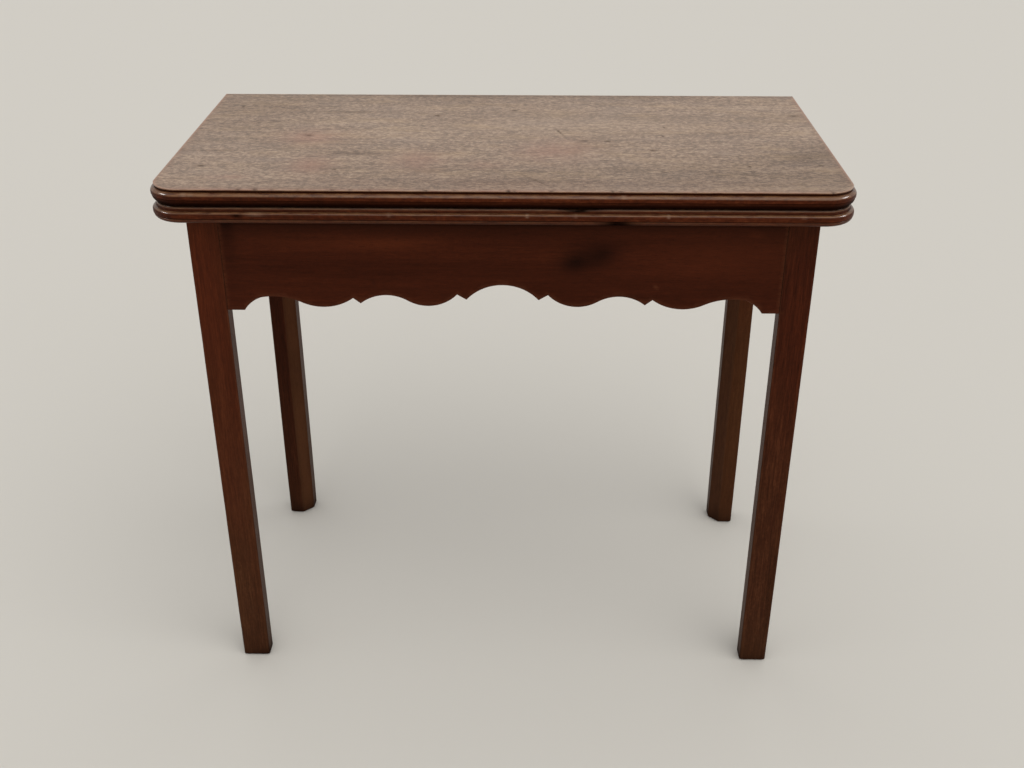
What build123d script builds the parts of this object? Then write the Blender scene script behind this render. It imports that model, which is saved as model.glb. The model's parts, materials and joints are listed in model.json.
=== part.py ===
from build123d import *
import math
import os

# Fold-over tea table: a folding top of two moulded leaves, a shaped front apron,
# square legs chamfered on the inner corner, and one gate leg that swings out to
# carry the open leaf. Millimetres, +X to the right, +Y to the back, +Z up, with
# the origin on the floor under the middle of the standing table.

# Frame and legs
frame_width = 764.0
frame_depth = 389.0
leg_size = 38.0
leg_height = 686.0
leg_chamfer = 16.0
leg_round = 1.2
foot_bevel = 2.5

# Rails
rail_depth = 127.5
rail_thickness = 20.0
rail_setback = 0.8
rear_rail_depth = 110.0
tenon_length = 20.0
tenon_thickness = 8.0
tenon_shoulder = 12.0
housing_depth = 6.0
joint_gap = 0.1
mortise_end_gap = 1.0

# Lower edge of the apron, from the middle to one leg. Each row gives the point
# that an arc passes through, or None for a straight cut, and the point where it
# ends, as shares of the half length and of the rail depth.
apron_crown_share = 0.717
apron_wave_shares = [
    ((0.254, 0.941), (0.343, 0.889)),
    ((0.429, 0.832), (0.514, 0.921)),
    (None, (0.541, 0.865)),
    ((0.636, 0.960), (0.7305, 0.9105)),
    ((0.8035, 0.856), (0.8765, 0.865)),
    ((0.907, 0.909), (0.938, 1.0)),
]
apron_arch_end_shares = (0.130, 0.874)
apron_cusp_shares = (0.164, 0.820)

# Leaves and their edge moulding
leaf_thickness = 20.7
front_overhang = 35.0
side_overhang = 37.0
corner_radius = 40.0
quirk_in = 6.5
quirk_drop = 1.8
bead_top = 8.3
bead_bottom = 12.3
bead_quirk = 0.8
lower_round_top = 13.0
lower_round_in = 5.5

# Gate: fly rail, wooden knuckle joint and swinging leg
gate_ajar = 2.8
gate_leg_inset = 3.0
gate_gap = 0.5
knuckle_rail_depth = 100.0
knuckle_thickness = 25.0
knuckle_fingers = 5
knuckle_gap = 0.6
finger_gap = 0.3
knuckle_pin_x = 0.0
knuckle_pin_radius = 4.0
knuckle_pin_fit = 0.08
knuckle_pin_short = 1.5
knuckle_tenon_thickness = 9.0

# Hinges between the leaves
hinge_inset = 5.0
hinge_length = 50.0
hinge_height = 7.0
hinge_depth = 6.4
hinge_eye_radius = 4.5
hinge_pin_radius = 1.5
hinge_fit = 0.06
hinge_line_gap = 0.2
hinge_eye_gap = 0.25
hinge_screw_shares = (0.24, 0.56, 0.86)

# Screws
hinge_screw_head = 2.8
hinge_screw_shank = 1.3
hinge_screw_length = 18.0
rail_screw_head = 4.2
rail_screw_shank = 2.1
top_screw_rail = 30.0
top_screw_bite = 12.0
top_screw_in = 6.0
knuckle_screw_bite = 12.5
screw_point = 4.0
screw_gap = 0.08
screw_slot_width = 0.8
screw_slot_depth = 0.7
apron_screw_share = 0.62
rear_screw_share = 0.62
knuckle_screw_shares = (0.16, 0.5, 0.84)
knuckle_screw_height_share = 0.5

# Pockets for the screws that hold the lower leaf
pocket_radius = 6.5
pocket_height = 40.0

# Glue blocks
block_size = 18.0
block_length = 60.0
apron_block_share = 0.33
rear_block_height = 80.0

overrun = 3.0

# Places worked out from the sizes
half_width = frame_width / 2
half_top = half_width + side_overhang
leg_half = leg_size / 2
knuckle_half = knuckle_thickness / 2
gate_reach = knuckle_pin_x + half_width - gate_leg_inset - leg_half
ajar = math.radians(gate_ajar)
swing_along = (gate_reach + leg_half - leg_round) * math.sin(ajar)
swing_across = (leg_size - knuckle_half - leg_round) * math.cos(ajar)
gate_rear_reach = swing_along + swing_across + leg_round
overall_depth = front_overhang + frame_depth - leg_size + knuckle_half + gate_rear_reach

front_edge = -overall_depth / 2
front_face = front_edge + front_overhang
back_face = front_face + frame_depth
rear_leg_front = back_face - leg_size
pin_y = rear_leg_front + knuckle_half
rail_face = front_face + rail_setback
apron_inner = rail_face + rail_thickness
rear_rail_back = rear_leg_front - gate_gap
rear_rail_front = rear_rail_back - rail_thickness
side_rail_outer = half_width - rail_setback
side_rail_inner = side_rail_outer - rail_thickness
rail_bottom = leg_height - rail_depth
rear_rail_bottom = leg_height - rear_rail_depth
knuckle_bottom = leg_height - knuckle_rail_depth
finger_height = knuckle_rail_depth / knuckle_fingers
leaf_meeting = leg_height + leaf_thickness
leg_x = half_width - leg_half
front_leg_y = front_face + leg_half
rear_leg_y = back_face - leg_half
tenon_height = rail_depth - 2 * tenon_shoulder
knuckle_tenon_height = knuckle_rail_depth - 2 * tenon_shoulder
hinge_face = half_top - hinge_inset
top_screw_length = top_screw_rail + top_screw_bite
knuckle_screw_length = knuckle_thickness + gate_gap + knuckle_screw_bite
knuckle_root = knuckle_half + knuckle_gap
above = (Align.CENTER, Align.CENTER, Align.MIN)

os.makedirs("parts", exist_ok=True)


def save(part, name):
    """Labels one finished piece and writes it."""
    part.label = name
    export_step(part, f"parts/{name}.step")


def cut_block(low, high):
    """Cuts a box between two corners out of the piece being made."""
    size = [b - a for a, b in zip(low, high)]
    middle = [(a + b) / 2 for a, b in zip(low, high)]
    with Locations(tuple(middle)):
        Box(*size, mode=Mode.SUBTRACT)


def add_block(low, high):
    """Adds a box between two corners to the piece being made."""
    size = [b - a for a, b in zip(low, high)]
    middle = [(a + b) / 2 for a, b in zip(low, high)]
    with Locations(tuple(middle)):
        Box(*size)


def screw(place, head, shank, length):
    """Adds a slotted countersunk screw, driven along the Z direction of place."""
    with Locations(place):
        Cone(head, shank, head - shank, align=above)
        Box(2 * head, screw_slot_width, screw_slot_depth, align=above, mode=Mode.SUBTRACT)
    with Locations(place.offset(head - shank)):
        Cylinder(shank, length - screw_point - head + shank, align=above)
    with Locations(place.offset(length - screw_point)):
        Cone(shank, 0, screw_point, align=above)


def screw_hole(place, head, shank, length):
    """Cuts the hole that such a screw fills, a little larger all round."""
    with Locations(place):
        Cone(head + screw_gap, shank + screw_gap, head - shank, align=above, mode=Mode.SUBTRACT)
        Cylinder(shank + screw_gap, length + screw_gap, align=above, mode=Mode.SUBTRACT)


# Leaves

def moulded_board(base):
    """One leaf of the top, its underside at base, with the moulding on three sides."""
    top = base + leaf_thickness
    with BuildPart() as board:
        with BuildSketch(Plane.XY.offset(base)):
            with BuildLine():
                Polyline(
                    (-half_top - overrun, back_face),
                    (-half_top - overrun, front_edge - overrun),
                    (half_top + overrun, front_edge - overrun),
                    (half_top + overrun, back_face),
                    close=True,
                )
            make_face()
        extrude(amount=leaf_thickness)
        with BuildLine(Plane.XY.offset(top)) as edge:
            left = Line((-half_top, back_face + overrun), (-half_top, front_edge + corner_radius))
            front_left = RadiusArc(
                left @ 1, (-half_top + corner_radius, front_edge), -corner_radius
            )
            front = Line(front_left @ 1, (half_top - corner_radius, front_edge))
            front_right = RadiusArc(
                front @ 1, (half_top, front_edge + corner_radius), -corner_radius
            )
            Line(front_right @ 1, (half_top, back_face + overrun))
        # Section of the waste that the moulding plane takes away, X inwards and Y up.
        start = Plane(
            origin=(-half_top, back_face + overrun, top), x_dir=(1, 0, 0), z_dir=(0, -1, 0)
        )
        reach = corner_radius + overrun
        with BuildSketch(start):
            with BuildLine():
                drop = Line((quirk_in, overrun), (quirk_in, -quirk_drop))
                bead = TangentArc((0, -bead_top), drop @ 1, tangent=(0, 1))
                face = Line(bead @ 0, (0, -bead_bottom))
                quirk = Polyline(
                    face @ 1, (bead_quirk, -bead_bottom), (bead_quirk, -lower_round_top)
                )
                under = TangentArc(
                    quirk @ 1, (lower_round_in, -leaf_thickness), tangent=(0, -1)
                )
                Polyline(
                    under @ 1,
                    (lower_round_in, -leaf_thickness - overrun),
                    (-reach, -leaf_thickness - overrun),
                    (-reach, overrun),
                    drop @ 0,
                )
            make_face()
        sweep(path=edge.wires()[0], mode=Mode.SUBTRACT)
    return board.part


def hinge_mortise(side, low, high):
    """Cuts the recess for one hinge bar in the side edge of a leaf, between two heights."""
    inner = hinge_face - hinge_depth - joint_gap
    x_low, x_high = sorted((side * inner, side * (half_top + overrun)))
    cut_block((x_low, back_face - hinge_length - joint_gap, low), (x_high, back_face, high))


def hinge_screw_places(side, height):
    """Screw places along one hinge bar, each pointing into the leaf."""
    return [
        Plane(
            origin=(side * hinge_face, back_face - share * hinge_length, height),
            x_dir=(0, 1, 0),
            z_dir=(-side, 0, 0),
        )
        for share in hinge_screw_shares
    ]


def upright(x, y, z, inward):
    """A plane at a point, with Z up and Y along inward."""
    return Plane(origin=(x, y, z), x_dir=(inward[1], -inward[0], 0), z_dir=(0, 0, 1))


pocket_top = leg_height - top_screw_rail
apron_screw_x = apron_screw_share * (half_width - leg_size)
rear_screw_x = rear_screw_share * side_rail_inner
side_screw_y = (apron_inner + rear_rail_front) / 2
apron_screws = [
    upright(x, apron_inner - top_screw_in, pocket_top, (0, 1))
    for x in (-apron_screw_x, 0, apron_screw_x)
]
rear_screws = [
    upright(x, rear_rail_front + top_screw_in, pocket_top, (0, -1))
    for x in (-rear_screw_x, rear_screw_x)
]
left_screws = [upright(-side_rail_inner - top_screw_in, side_screw_y, pocket_top, (1, 0))]
right_screws = [upright(side_rail_inner + top_screw_in, side_screw_y, pocket_top, (-1, 0))]
top_screws = apron_screws + rear_screws + left_screws + right_screws
lower_bar_z = leaf_meeting - (hinge_line_gap + hinge_height) / 2
upper_bar_z = leaf_meeting + (hinge_line_gap + hinge_height) / 2
lower_hinge_places = [p for s in (-1, 1) for p in hinge_screw_places(s, lower_bar_z)]
upper_hinge_places = [p for s in (-1, 1) for p in hinge_screw_places(s, upper_bar_z)]

lower_board = moulded_board(leg_height)
with BuildPart() as lower_leaf:
    add(lower_board)
    for side in (-1, 1):
        hinge_mortise(side, leaf_meeting - hinge_height - joint_gap, leaf_meeting)
    for place in lower_hinge_places:
        screw_hole(place, hinge_screw_head, hinge_screw_shank, hinge_screw_length)
    for place in top_screws:
        screw_hole(place, rail_screw_head, rail_screw_shank, top_screw_length)
save(lower_leaf.part, "lower_leaf")

upper_board = moulded_board(leaf_meeting)
with BuildPart() as upper_leaf:
    add(upper_board)
    for side in (-1, 1):
        hinge_mortise(side, leaf_meeting, leaf_meeting + hinge_height + joint_gap)
    for place in upper_hinge_places:
        screw_hole(place, hinge_screw_head, hinge_screw_shank, hinge_screw_length)
save(upper_leaf.part, "upper_leaf")


# Hinges, one in each side edge, with one eye on each bar and a pin through both

def hinge_bar(side, way):
    """One brass bar: way is -1 for the bar in the lower leaf and 1 for the upper one."""
    outer = Plane.YZ.offset(side * hinge_face)
    eye_split = hinge_depth / 2
    near = leaf_meeting + way * hinge_line_gap
    far = leaf_meeting + way * hinge_height
    low, high = sorted((near, far))
    with BuildPart() as bar:
        with BuildSketch(outer):
            with BuildLine():
                Polyline(
                    (back_face - hinge_length, low),
                    (back_face - hinge_line_gap, low),
                    (back_face - hinge_line_gap, high),
                    (back_face - hinge_length, high),
                    close=True,
                )
            make_face()
            with Locations((back_face, leaf_meeting)):
                Circle(hinge_eye_radius)
        extrude(amount=-side * hinge_depth)
        # The other bar's eye takes the inner half of the lower bar's depth and
        # the outer half of the upper bar's.
        start = eye_split - hinge_eye_gap / 2 if way < 0 else -overrun
        end = hinge_depth + overrun if way < 0 else eye_split + hinge_eye_gap / 2
        with BuildSketch(Plane.YZ.offset(side * (hinge_face - start))):
            with Locations((back_face, leaf_meeting)):
                Circle(hinge_eye_radius + hinge_eye_gap)
        extrude(amount=-side * (end - start), mode=Mode.SUBTRACT)
        with BuildSketch(outer):
            with Locations((back_face, leaf_meeting)):
                Circle(hinge_pin_radius + hinge_fit)
        extrude(amount=-side * hinge_depth, mode=Mode.SUBTRACT)
        height = lower_bar_z if way < 0 else upper_bar_z
        for place in hinge_screw_places(side, height):
            screw_hole(place, hinge_screw_head, hinge_screw_shank, hinge_screw_length)
    return bar.part


for side, side_name in ((-1, "left"), (1, "right")):
    save(hinge_bar(side, -1), f"{side_name}_hinge_lower_plate")
    save(hinge_bar(side, 1), f"{side_name}_hinge_upper_plate")
    with BuildPart() as hinge_pin:
        with BuildSketch(Plane.YZ.offset(side * hinge_face)):
            with Locations((back_face, leaf_meeting)):
                Circle(hinge_pin_radius)
        extrude(amount=-side * hinge_depth)
    save(hinge_pin.part, f"{side_name}_hinge_pin")

for name, places in (
    ("lower_hinge_screws", lower_hinge_places),
    ("upper_hinge_screws", upper_hinge_places),
):
    with BuildPart() as hinge_screws:
        for place in places:
            screw(place, hinge_screw_head, hinge_screw_shank, hinge_screw_length)
    save(hinge_screws.part, name)


# Rails

def gouge_pocket(place):
    """Cuts the gouged pocket in a rail's inner face, and the hole up from it."""
    reach = top_screw_in + overrun
    with BuildSketch(place) as outline:
        Circle(pocket_radius)
        with Locations((0, reach / 2)):
            Rectangle(2 * pocket_radius, reach)
    extrude(outline.sketch, amount=-pocket_height, mode=Mode.SUBTRACT)
    screw_hole(place, rail_screw_head, rail_screw_shank, top_screw_length)


rail_tenon_low = rail_bottom + tenon_shoulder
rail_tenon_high = rail_tenon_low + tenon_height
apron_middle = (rail_face + apron_inner) / 2
side_rail_middle = (side_rail_outer + side_rail_inner) / 2
tenon_half = tenon_thickness / 2
apron_half = half_width - leg_size


def apron_point(shares, side):
    """A point of the apron's lower edge on one side, from its shares."""
    return (side * shares[0] * apron_half, leg_height - shares[1] * rail_depth)


def half_wave(side):
    """Draws the lower edge from the cusp beside the middle arch out to the leg."""
    here = apron_point(apron_cusp_shares, side)
    Line(apron_point(apron_arch_end_shares, side), here)
    for through, end in apron_wave_shares:
        there = apron_point(end, side)
        if through is None:
            Line(here, there)
        else:
            ThreePointArc(here, apron_point(through, side), there)
        here = there
    Polyline(here, (side * apron_half, rail_bottom), (side * apron_half, leg_height))


with BuildPart() as front_apron:
    with BuildSketch(Plane.XZ.offset(-apron_inner)):
        with BuildLine():
            ThreePointArc(
                apron_point(apron_arch_end_shares, -1),
                (0, leg_height - apron_crown_share * rail_depth),
                apron_point(apron_arch_end_shares, 1),
            )
            half_wave(-1)
            half_wave(1)
            Line((-apron_half, leg_height), (apron_half, leg_height))
        make_face()
    extrude(amount=rail_thickness)
    for side in (-1, 1):
        x_low, x_high = sorted((side * apron_half, side * (apron_half + tenon_length)))
        add_block(
            (x_low, apron_middle - tenon_half, rail_tenon_low),
            (x_high, apron_middle + tenon_half, rail_tenon_high),
        )
    for place in apron_screws:
        gouge_pocket(place)
save(front_apron.part, "front_apron")


def side_rail(side, back_end, rear_tenon, places):
    """A side rail from the front leg to back_end, housed for the rear inner rail."""
    x_low, x_high = sorted((side * side_rail_inner, side * side_rail_outer))
    front_end = front_face + leg_size
    tenon_end = back_end + tenon_length if rear_tenon else back_end
    housing_low, housing_high = sorted(
        (side * (side_rail_inner - overrun), side * (side_rail_inner + housing_depth + joint_gap))
    )
    with BuildPart() as rail:
        add_block((x_low, front_end, rail_bottom), (x_high, back_end, leg_height))
        add_block(
            (side * side_rail_middle - tenon_half, front_end - tenon_length, rail_tenon_low),
            (side * side_rail_middle + tenon_half, tenon_end, rail_tenon_high),
        )
        cut_block(
            (housing_low, rear_rail_front - joint_gap, rear_rail_bottom - joint_gap),
            (housing_high, back_end, leg_height + overrun),
        )
        for place in places:
            gouge_pocket(place)
    return rail.part


save(side_rail(-1, rear_rail_back, False, left_screws), "left_side_rail")
save(side_rail(1, rear_leg_front, True, right_screws), "right_side_rail")

with BuildPart() as rear_inner_rail:
    add_block(
        (-side_rail_inner - housing_depth, rear_rail_front, rear_rail_bottom),
        (side_rail_inner + housing_depth, rear_rail_back, leg_height),
    )
    for place in rear_screws:
        gouge_pocket(place)
    rail_run = half_width - leg_size - knuckle_pin_x
    knuckle_middle = leg_height - knuckle_screw_height_share * knuckle_rail_depth
    knuckle_screw_places = [
        Plane(
            origin=(knuckle_pin_x + share * rail_run, pin_y + knuckle_half, knuckle_middle),
            x_dir=(1, 0, 0),
            z_dir=(0, -1, 0),
        )
        for share in knuckle_screw_shares
    ]
    for place in knuckle_screw_places:
        screw_hole(place, rail_screw_head, rail_screw_shank, knuckle_screw_length)
save(rear_inner_rail.part, "rear_inner_rail")


# Knuckle joint of the gate. Counted from below, the fixed rail has the first, third
# and fifth fingers, and the fly rail has those between.

def finger(plane, way, low, high):
    """One rounded finger reaching from its rail to the pin, between two heights."""
    with BuildSketch(plane.offset(low)) as outline:
        with Locations((way * knuckle_root / 2, 0)):
            Rectangle(knuckle_root, knuckle_thickness)
        Circle(knuckle_half)
    extrude(outline.sketch, amount=high - low)


fixed_plane = Plane(origin=(knuckle_pin_x, pin_y, 0), x_dir=(1, 0, 0), z_dir=(0, 0, 1))
gate_plane = Plane(
    origin=(knuckle_pin_x, pin_y, 0),
    x_dir=(math.cos(ajar), -math.sin(ajar), 0),
    z_dir=(0, 0, 1),
)
fixed_end = half_width - leg_size
knuckle_tenon_half = knuckle_tenon_thickness / 2
knuckle_tenon_low = knuckle_bottom + tenon_shoulder
knuckle_tenon_high = knuckle_tenon_low + knuckle_tenon_height

with BuildPart() as fixed_knuckle_rail:
    add_block(
        (knuckle_pin_x + knuckle_root, rear_rail_back, knuckle_bottom),
        (fixed_end, pin_y + knuckle_half, leg_height),
    )
    add_block(
        (fixed_end, pin_y - knuckle_tenon_half, knuckle_tenon_low),
        (fixed_end + tenon_length, pin_y + knuckle_tenon_half, knuckle_tenon_high),
    )
    for level in range(0, knuckle_fingers, 2):
        low = knuckle_bottom + level * finger_height
        finger(fixed_plane, 1, low, low + finger_height)
    with BuildSketch(fixed_plane.offset(knuckle_bottom)):
        Circle(knuckle_pin_radius + knuckle_pin_fit)
    extrude(amount=knuckle_rail_depth, mode=Mode.SUBTRACT)
    for place in knuckle_screw_places:
        screw_hole(place, rail_screw_head, rail_screw_shank, knuckle_screw_length)
save(fixed_knuckle_rail.part, "fixed_knuckle_rail")

fly_top = leg_height - gate_gap
fly_run = gate_reach - leg_half
with BuildPart() as fly_rail:
    with BuildSketch(gate_plane.offset(knuckle_bottom)):
        with Locations((-(knuckle_root + fly_run) / 2, 0)):
            Rectangle(fly_run - knuckle_root, knuckle_thickness)
    extrude(amount=fly_top - knuckle_bottom)
    with BuildSketch(gate_plane.offset(knuckle_tenon_low)):
        with Locations((-fly_run - tenon_length / 2, 0)):
            Rectangle(tenon_length, knuckle_tenon_thickness)
    extrude(amount=knuckle_tenon_height)
    for level in range(1, knuckle_fingers, 2):
        low = knuckle_bottom + level * finger_height
        finger(gate_plane, -1, low + finger_gap, low + finger_height - finger_gap)
    with BuildSketch(gate_plane.offset(knuckle_bottom)):
        Circle(knuckle_pin_radius + knuckle_pin_fit)
    extrude(amount=knuckle_rail_depth, mode=Mode.SUBTRACT)
save(fly_rail.part, "fly_rail")

with BuildPart() as knuckle_pin:
    with BuildSketch(fixed_plane.offset(knuckle_bottom)):
        Circle(knuckle_pin_radius)
    extrude(amount=knuckle_rail_depth - knuckle_pin_short)
save(knuckle_pin.part, "knuckle_pin")


# Legs

def square_leg(base, inward, height, stop):
    """A square leg on the plane base, chamfered on the corner that inward points to,
    from the floor up to the height stop, where the rails begin."""
    corner_x, corner_y = inward[0] * leg_half, inward[1] * leg_half
    with BuildPart() as leg:
        with BuildSketch(base):
            Rectangle(leg_size, leg_size)
        extrude(amount=height)
        inner_edge = leg.edges().filter_by(Axis.Z).sort_by_distance(
            base.from_local_coords((corner_x, corner_y, height / 2))
        )[0]
        outer_edges = [e for e in leg.edges().filter_by(Axis.Z) if e != inner_edge]
        fillet(outer_edges, leg_round)
        with BuildSketch(base):
            with BuildLine():
                Polyline(
                    (corner_x - inward[0] * leg_chamfer, corner_y),
                    (corner_x + inward[0] * overrun, corner_y + inward[1] * overrun),
                    (corner_x, corner_y - inward[1] * leg_chamfer),
                    close=True,
                )
            make_face()
        extrude(amount=stop, mode=Mode.SUBTRACT)
        # The foot's bevel: what lies inside a pyramid that stands on its point.
        foot_side = leg_size - 2 * foot_bevel
        with BuildSketch(base):
            Rectangle(foot_side, foot_side)
        with BuildSketch(base.offset(height)):
            Rectangle(foot_side + 2 * height, foot_side + 2 * height)
        loft(mode=Mode.INTERSECT)
    return leg.part


apron_mortise_y = (apron_middle - tenon_half - joint_gap, apron_middle + tenon_half + joint_gap)
mortise_z = (rail_tenon_low - joint_gap, rail_tenon_high + joint_gap)
mortise_depth = tenon_length + mortise_end_gap
for side, name in ((-1, "front_left_leg"), (1, "front_right_leg")):
    base = Plane(origin=(side * leg_x, front_leg_y, 0))
    blank = square_leg(base, (-side, 1), leg_height, rail_bottom)
    side_mortise_x = (
        side * side_rail_middle - tenon_half - joint_gap,
        side * side_rail_middle + tenon_half + joint_gap,
    )
    apron_x = sorted((side * (apron_half - overrun), side * (apron_half + mortise_depth)))
    with BuildPart() as front_leg:
        add(blank)
        cut_block(
            (apron_x[0], apron_mortise_y[0], mortise_z[0]),
            (apron_x[1], apron_mortise_y[1], mortise_z[1]),
        )
        cut_block(
            (side_mortise_x[0], front_face + leg_size - mortise_depth, mortise_z[0]),
            (side_mortise_x[1], front_face + leg_size + overrun, mortise_z[1]),
        )
    save(front_leg.part, name)

knuckle_mortise_z = (knuckle_tenon_low - joint_gap, knuckle_tenon_high + joint_gap)
rear_blank = square_leg(Plane(origin=(leg_x, rear_leg_y, 0)), (-1, -1), leg_height, rail_bottom)
with BuildPart() as rear_right_leg:
    add(rear_blank)
    cut_block(
        (side_rail_middle - tenon_half - joint_gap, rear_leg_front - overrun, mortise_z[0]),
        (side_rail_middle + tenon_half + joint_gap, rear_leg_front + mortise_depth, mortise_z[1]),
    )
    cut_block(
        (fixed_end - overrun, pin_y - knuckle_tenon_half - joint_gap, knuckle_mortise_z[0]),
        (fixed_end + mortise_depth, pin_y + knuckle_tenon_half + joint_gap, knuckle_mortise_z[1]),
    )
save(rear_right_leg.part, "rear_right_leg")

gate_leg_base = Plane(
    origin=gate_plane.from_local_coords((-gate_reach, leg_half - knuckle_half, 0)),
    x_dir=gate_plane.x_dir,
    z_dir=(0, 0, 1),
)
gate_blank = square_leg(gate_leg_base, (1, -1), fly_top, knuckle_bottom)
with BuildPart() as gate_leg:
    add(gate_blank)
    with BuildSketch(gate_plane.offset(knuckle_mortise_z[0])):
        with Locations((-fly_run - mortise_depth / 2 + overrun / 2, 0)):
            Rectangle(mortise_depth + overrun, knuckle_tenon_thickness + 2 * joint_gap)
    extrude(amount=knuckle_mortise_z[1] - knuckle_mortise_z[0], mode=Mode.SUBTRACT)
save(gate_leg.part, "gate_leg")


# Screws in the rails, and glue blocks

with BuildPart() as top_fixing_screws:
    for place in top_screws:
        screw(place, rail_screw_head, rail_screw_shank, top_screw_length)
save(top_fixing_screws.part, "top_fixing_screws")

with BuildPart() as knuckle_rail_screws:
    for place in knuckle_screw_places:
        screw(place, rail_screw_head, rail_screw_shank, knuckle_screw_length)
save(knuckle_rail_screws.part, "knuckle_rail_screws")

block_x = apron_block_share * apron_half
block_side_y = (side_screw_y + front_face + leg_size) / 2
with BuildPart() as glue_blocks:
    for x in (-block_x, block_x):
        add_block(
            (x - block_length / 2, apron_inner, leg_height - block_size),
            (x + block_length / 2, apron_inner + block_size, leg_height),
        )
    for side in (-1, 1):
        x_low, x_high = sorted((side * side_rail_inner, side * (side_rail_inner - block_size)))
        add_block(
            (x_low, block_side_y - block_length / 2, leg_height - block_size),
            (x_high, block_side_y + block_length / 2, leg_height),
        )
        add_block(
            (x_low, rear_rail_front - block_size, leg_height - rear_block_height),
            (x_high, rear_rail_front, leg_height),
        )
save(glue_blocks.part, "glue_blocks")
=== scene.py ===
# %% [markdown]
# # A fold-over tea table
#
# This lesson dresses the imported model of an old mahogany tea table: two moulded leaves
# that fold on brass hinges, a scalloped apron, four square legs and a gate that swings.
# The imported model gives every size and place, so each cell below reads what it needs
# from it, builds one kind of piece or one finish, and prints what it made.

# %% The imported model
import json
import math

import bmesh
import bpy
import numpy as np
from mathutils import Matrix, Vector
from mathutils.geometry import delaunay_2d_cdt
from mathutils.noise import noise


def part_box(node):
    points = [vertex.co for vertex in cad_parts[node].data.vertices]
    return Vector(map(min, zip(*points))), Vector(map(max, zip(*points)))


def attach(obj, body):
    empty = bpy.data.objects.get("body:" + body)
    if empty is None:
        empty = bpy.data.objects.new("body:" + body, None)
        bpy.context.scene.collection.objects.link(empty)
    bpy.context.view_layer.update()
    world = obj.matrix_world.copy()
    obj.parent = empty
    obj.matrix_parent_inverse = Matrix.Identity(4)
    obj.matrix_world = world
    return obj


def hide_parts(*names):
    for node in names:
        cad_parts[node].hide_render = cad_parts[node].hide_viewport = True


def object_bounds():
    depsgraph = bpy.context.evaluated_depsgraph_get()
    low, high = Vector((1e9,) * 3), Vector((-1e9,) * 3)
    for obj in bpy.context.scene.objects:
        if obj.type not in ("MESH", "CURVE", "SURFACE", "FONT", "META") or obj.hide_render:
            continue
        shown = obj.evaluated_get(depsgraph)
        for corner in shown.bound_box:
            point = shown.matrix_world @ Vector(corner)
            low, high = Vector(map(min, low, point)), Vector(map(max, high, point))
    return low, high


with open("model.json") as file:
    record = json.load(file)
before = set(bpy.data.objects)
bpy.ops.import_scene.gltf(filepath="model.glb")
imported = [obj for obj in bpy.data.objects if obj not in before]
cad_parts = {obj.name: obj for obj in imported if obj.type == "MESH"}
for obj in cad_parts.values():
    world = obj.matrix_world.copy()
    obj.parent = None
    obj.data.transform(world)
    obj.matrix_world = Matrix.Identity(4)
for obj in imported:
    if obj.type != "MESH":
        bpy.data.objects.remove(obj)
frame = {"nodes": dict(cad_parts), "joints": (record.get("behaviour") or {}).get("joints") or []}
cad_low, cad_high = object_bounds()
scene = bpy.context.scene
overall = cad_high - cad_low
print("table", [round(size, 4) for size in overall], "m")

# %% [markdown]
# ## The camera
#
# The picture was taken from in front of the table and from above it, looking down at it.
# A camera can be placed by eye, but then the edges never quite line up. This one's place,
# angles and lens were fitted to the edges of the legs and the top, so that the table
# stands in the picture as it stood before the real camera.

# %% Camera
camera_place = (0.03514, -1.55565, 1.19786)
camera_down = 0.4959
camera_aside = -0.0170
camera_lens = 42.51

camera_data = bpy.data.cameras.new("camera")
camera_data.lens = camera_lens
camera = bpy.data.objects.new("camera", camera_data)
camera.location = camera_place
camera.rotation_euler = (math.pi / 2 - camera_down, 0, -camera_aside)
scene.collection.objects.link(camera)
scene.camera = camera
scene.view_settings.view_transform = "Standard"
print("camera", camera_lens, "mm, looking", round(math.degrees(camera_down), 1), "degrees down")

# %% [markdown]
# ## Short ways to build node trees
#
# Materials, the surround and Geometry Nodes are all trees of nodes, and a script builds
# each in the same way: make a node, set its values, link its inputs. A few helpers do
# that in one call, so that every tree below reads like the sum that it works out.

# %% Nodes, sums and colours
def add(tree, kind, settings=None, inputs=None):
    """Adds a node. An input that is another node's output is linked, and others are set."""
    node = tree.nodes.new(kind)
    for name, value in (settings or {}).items():
        setattr(node, name, value)
    for name, value in (inputs or {}).items():
        if isinstance(value, bpy.types.NodeSocket):
            tree.links.new(value, node.inputs[name])
        else:
            node.inputs[name].default_value = value
    return node


def calculate(tree, operation, *values):
    """A Math node on one, two or three values."""
    node = add(tree, "ShaderNodeMath", {"operation": operation}, dict(enumerate(values)))
    return node.outputs[0]


def blend_colours(tree, share, first, second):
    """The colour that is share of the way from the first to the second."""
    mix = add(tree, "ShaderNodeMix", {"data_type": "RGBA"}, {0: share, 6: first, 7: second})
    return mix.outputs[2]


def colour(red, green, blue):
    """A colour socket's value."""
    return (red, green, blue, 1.0)


def ramp(tree, value, stops):
    """A colour for each value, from a list of places and colours."""
    node = add(tree, "ShaderNodeValToRGB", None, {"Fac": value})
    elements = node.color_ramp.elements
    while len(elements) < len(stops):
        elements.new(1.0)
    for element, (place, tone) in zip(elements, stops):
        element.position = place
        element.color = tone
    return node.outputs["Color"]


def spread(tree, value, low, high):
    """Value stretched so that low becomes 0 and high becomes 1, and held between them."""
    node = add(tree, "ShaderNodeMapRange", {"clamp": True}, {0: value, 1: low, 2: high})
    return node.outputs[0]


def new_material(name):
    """A material with its shader, and the tree to build it in."""
    material = bpy.data.materials.new(name)
    material.use_nodes = True
    return material, material.node_tree, material.node_tree.nodes["Principled BSDF"]


# %% [markdown]
# ## Light and floor
#
# The light is a very wide sun from the front right, whose shadows are soft all over, and
# an even pale surround, so that a colour looks about as it is written. Rays from the
# camera and from glossy surfaces see the surround as a plain pale tone that the polish
# can mirror. Two lamps at the sides light no wood: they only show as small glints in the
# polish. Lamps alone would light it too, but each would draw a shadow of its own.

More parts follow.
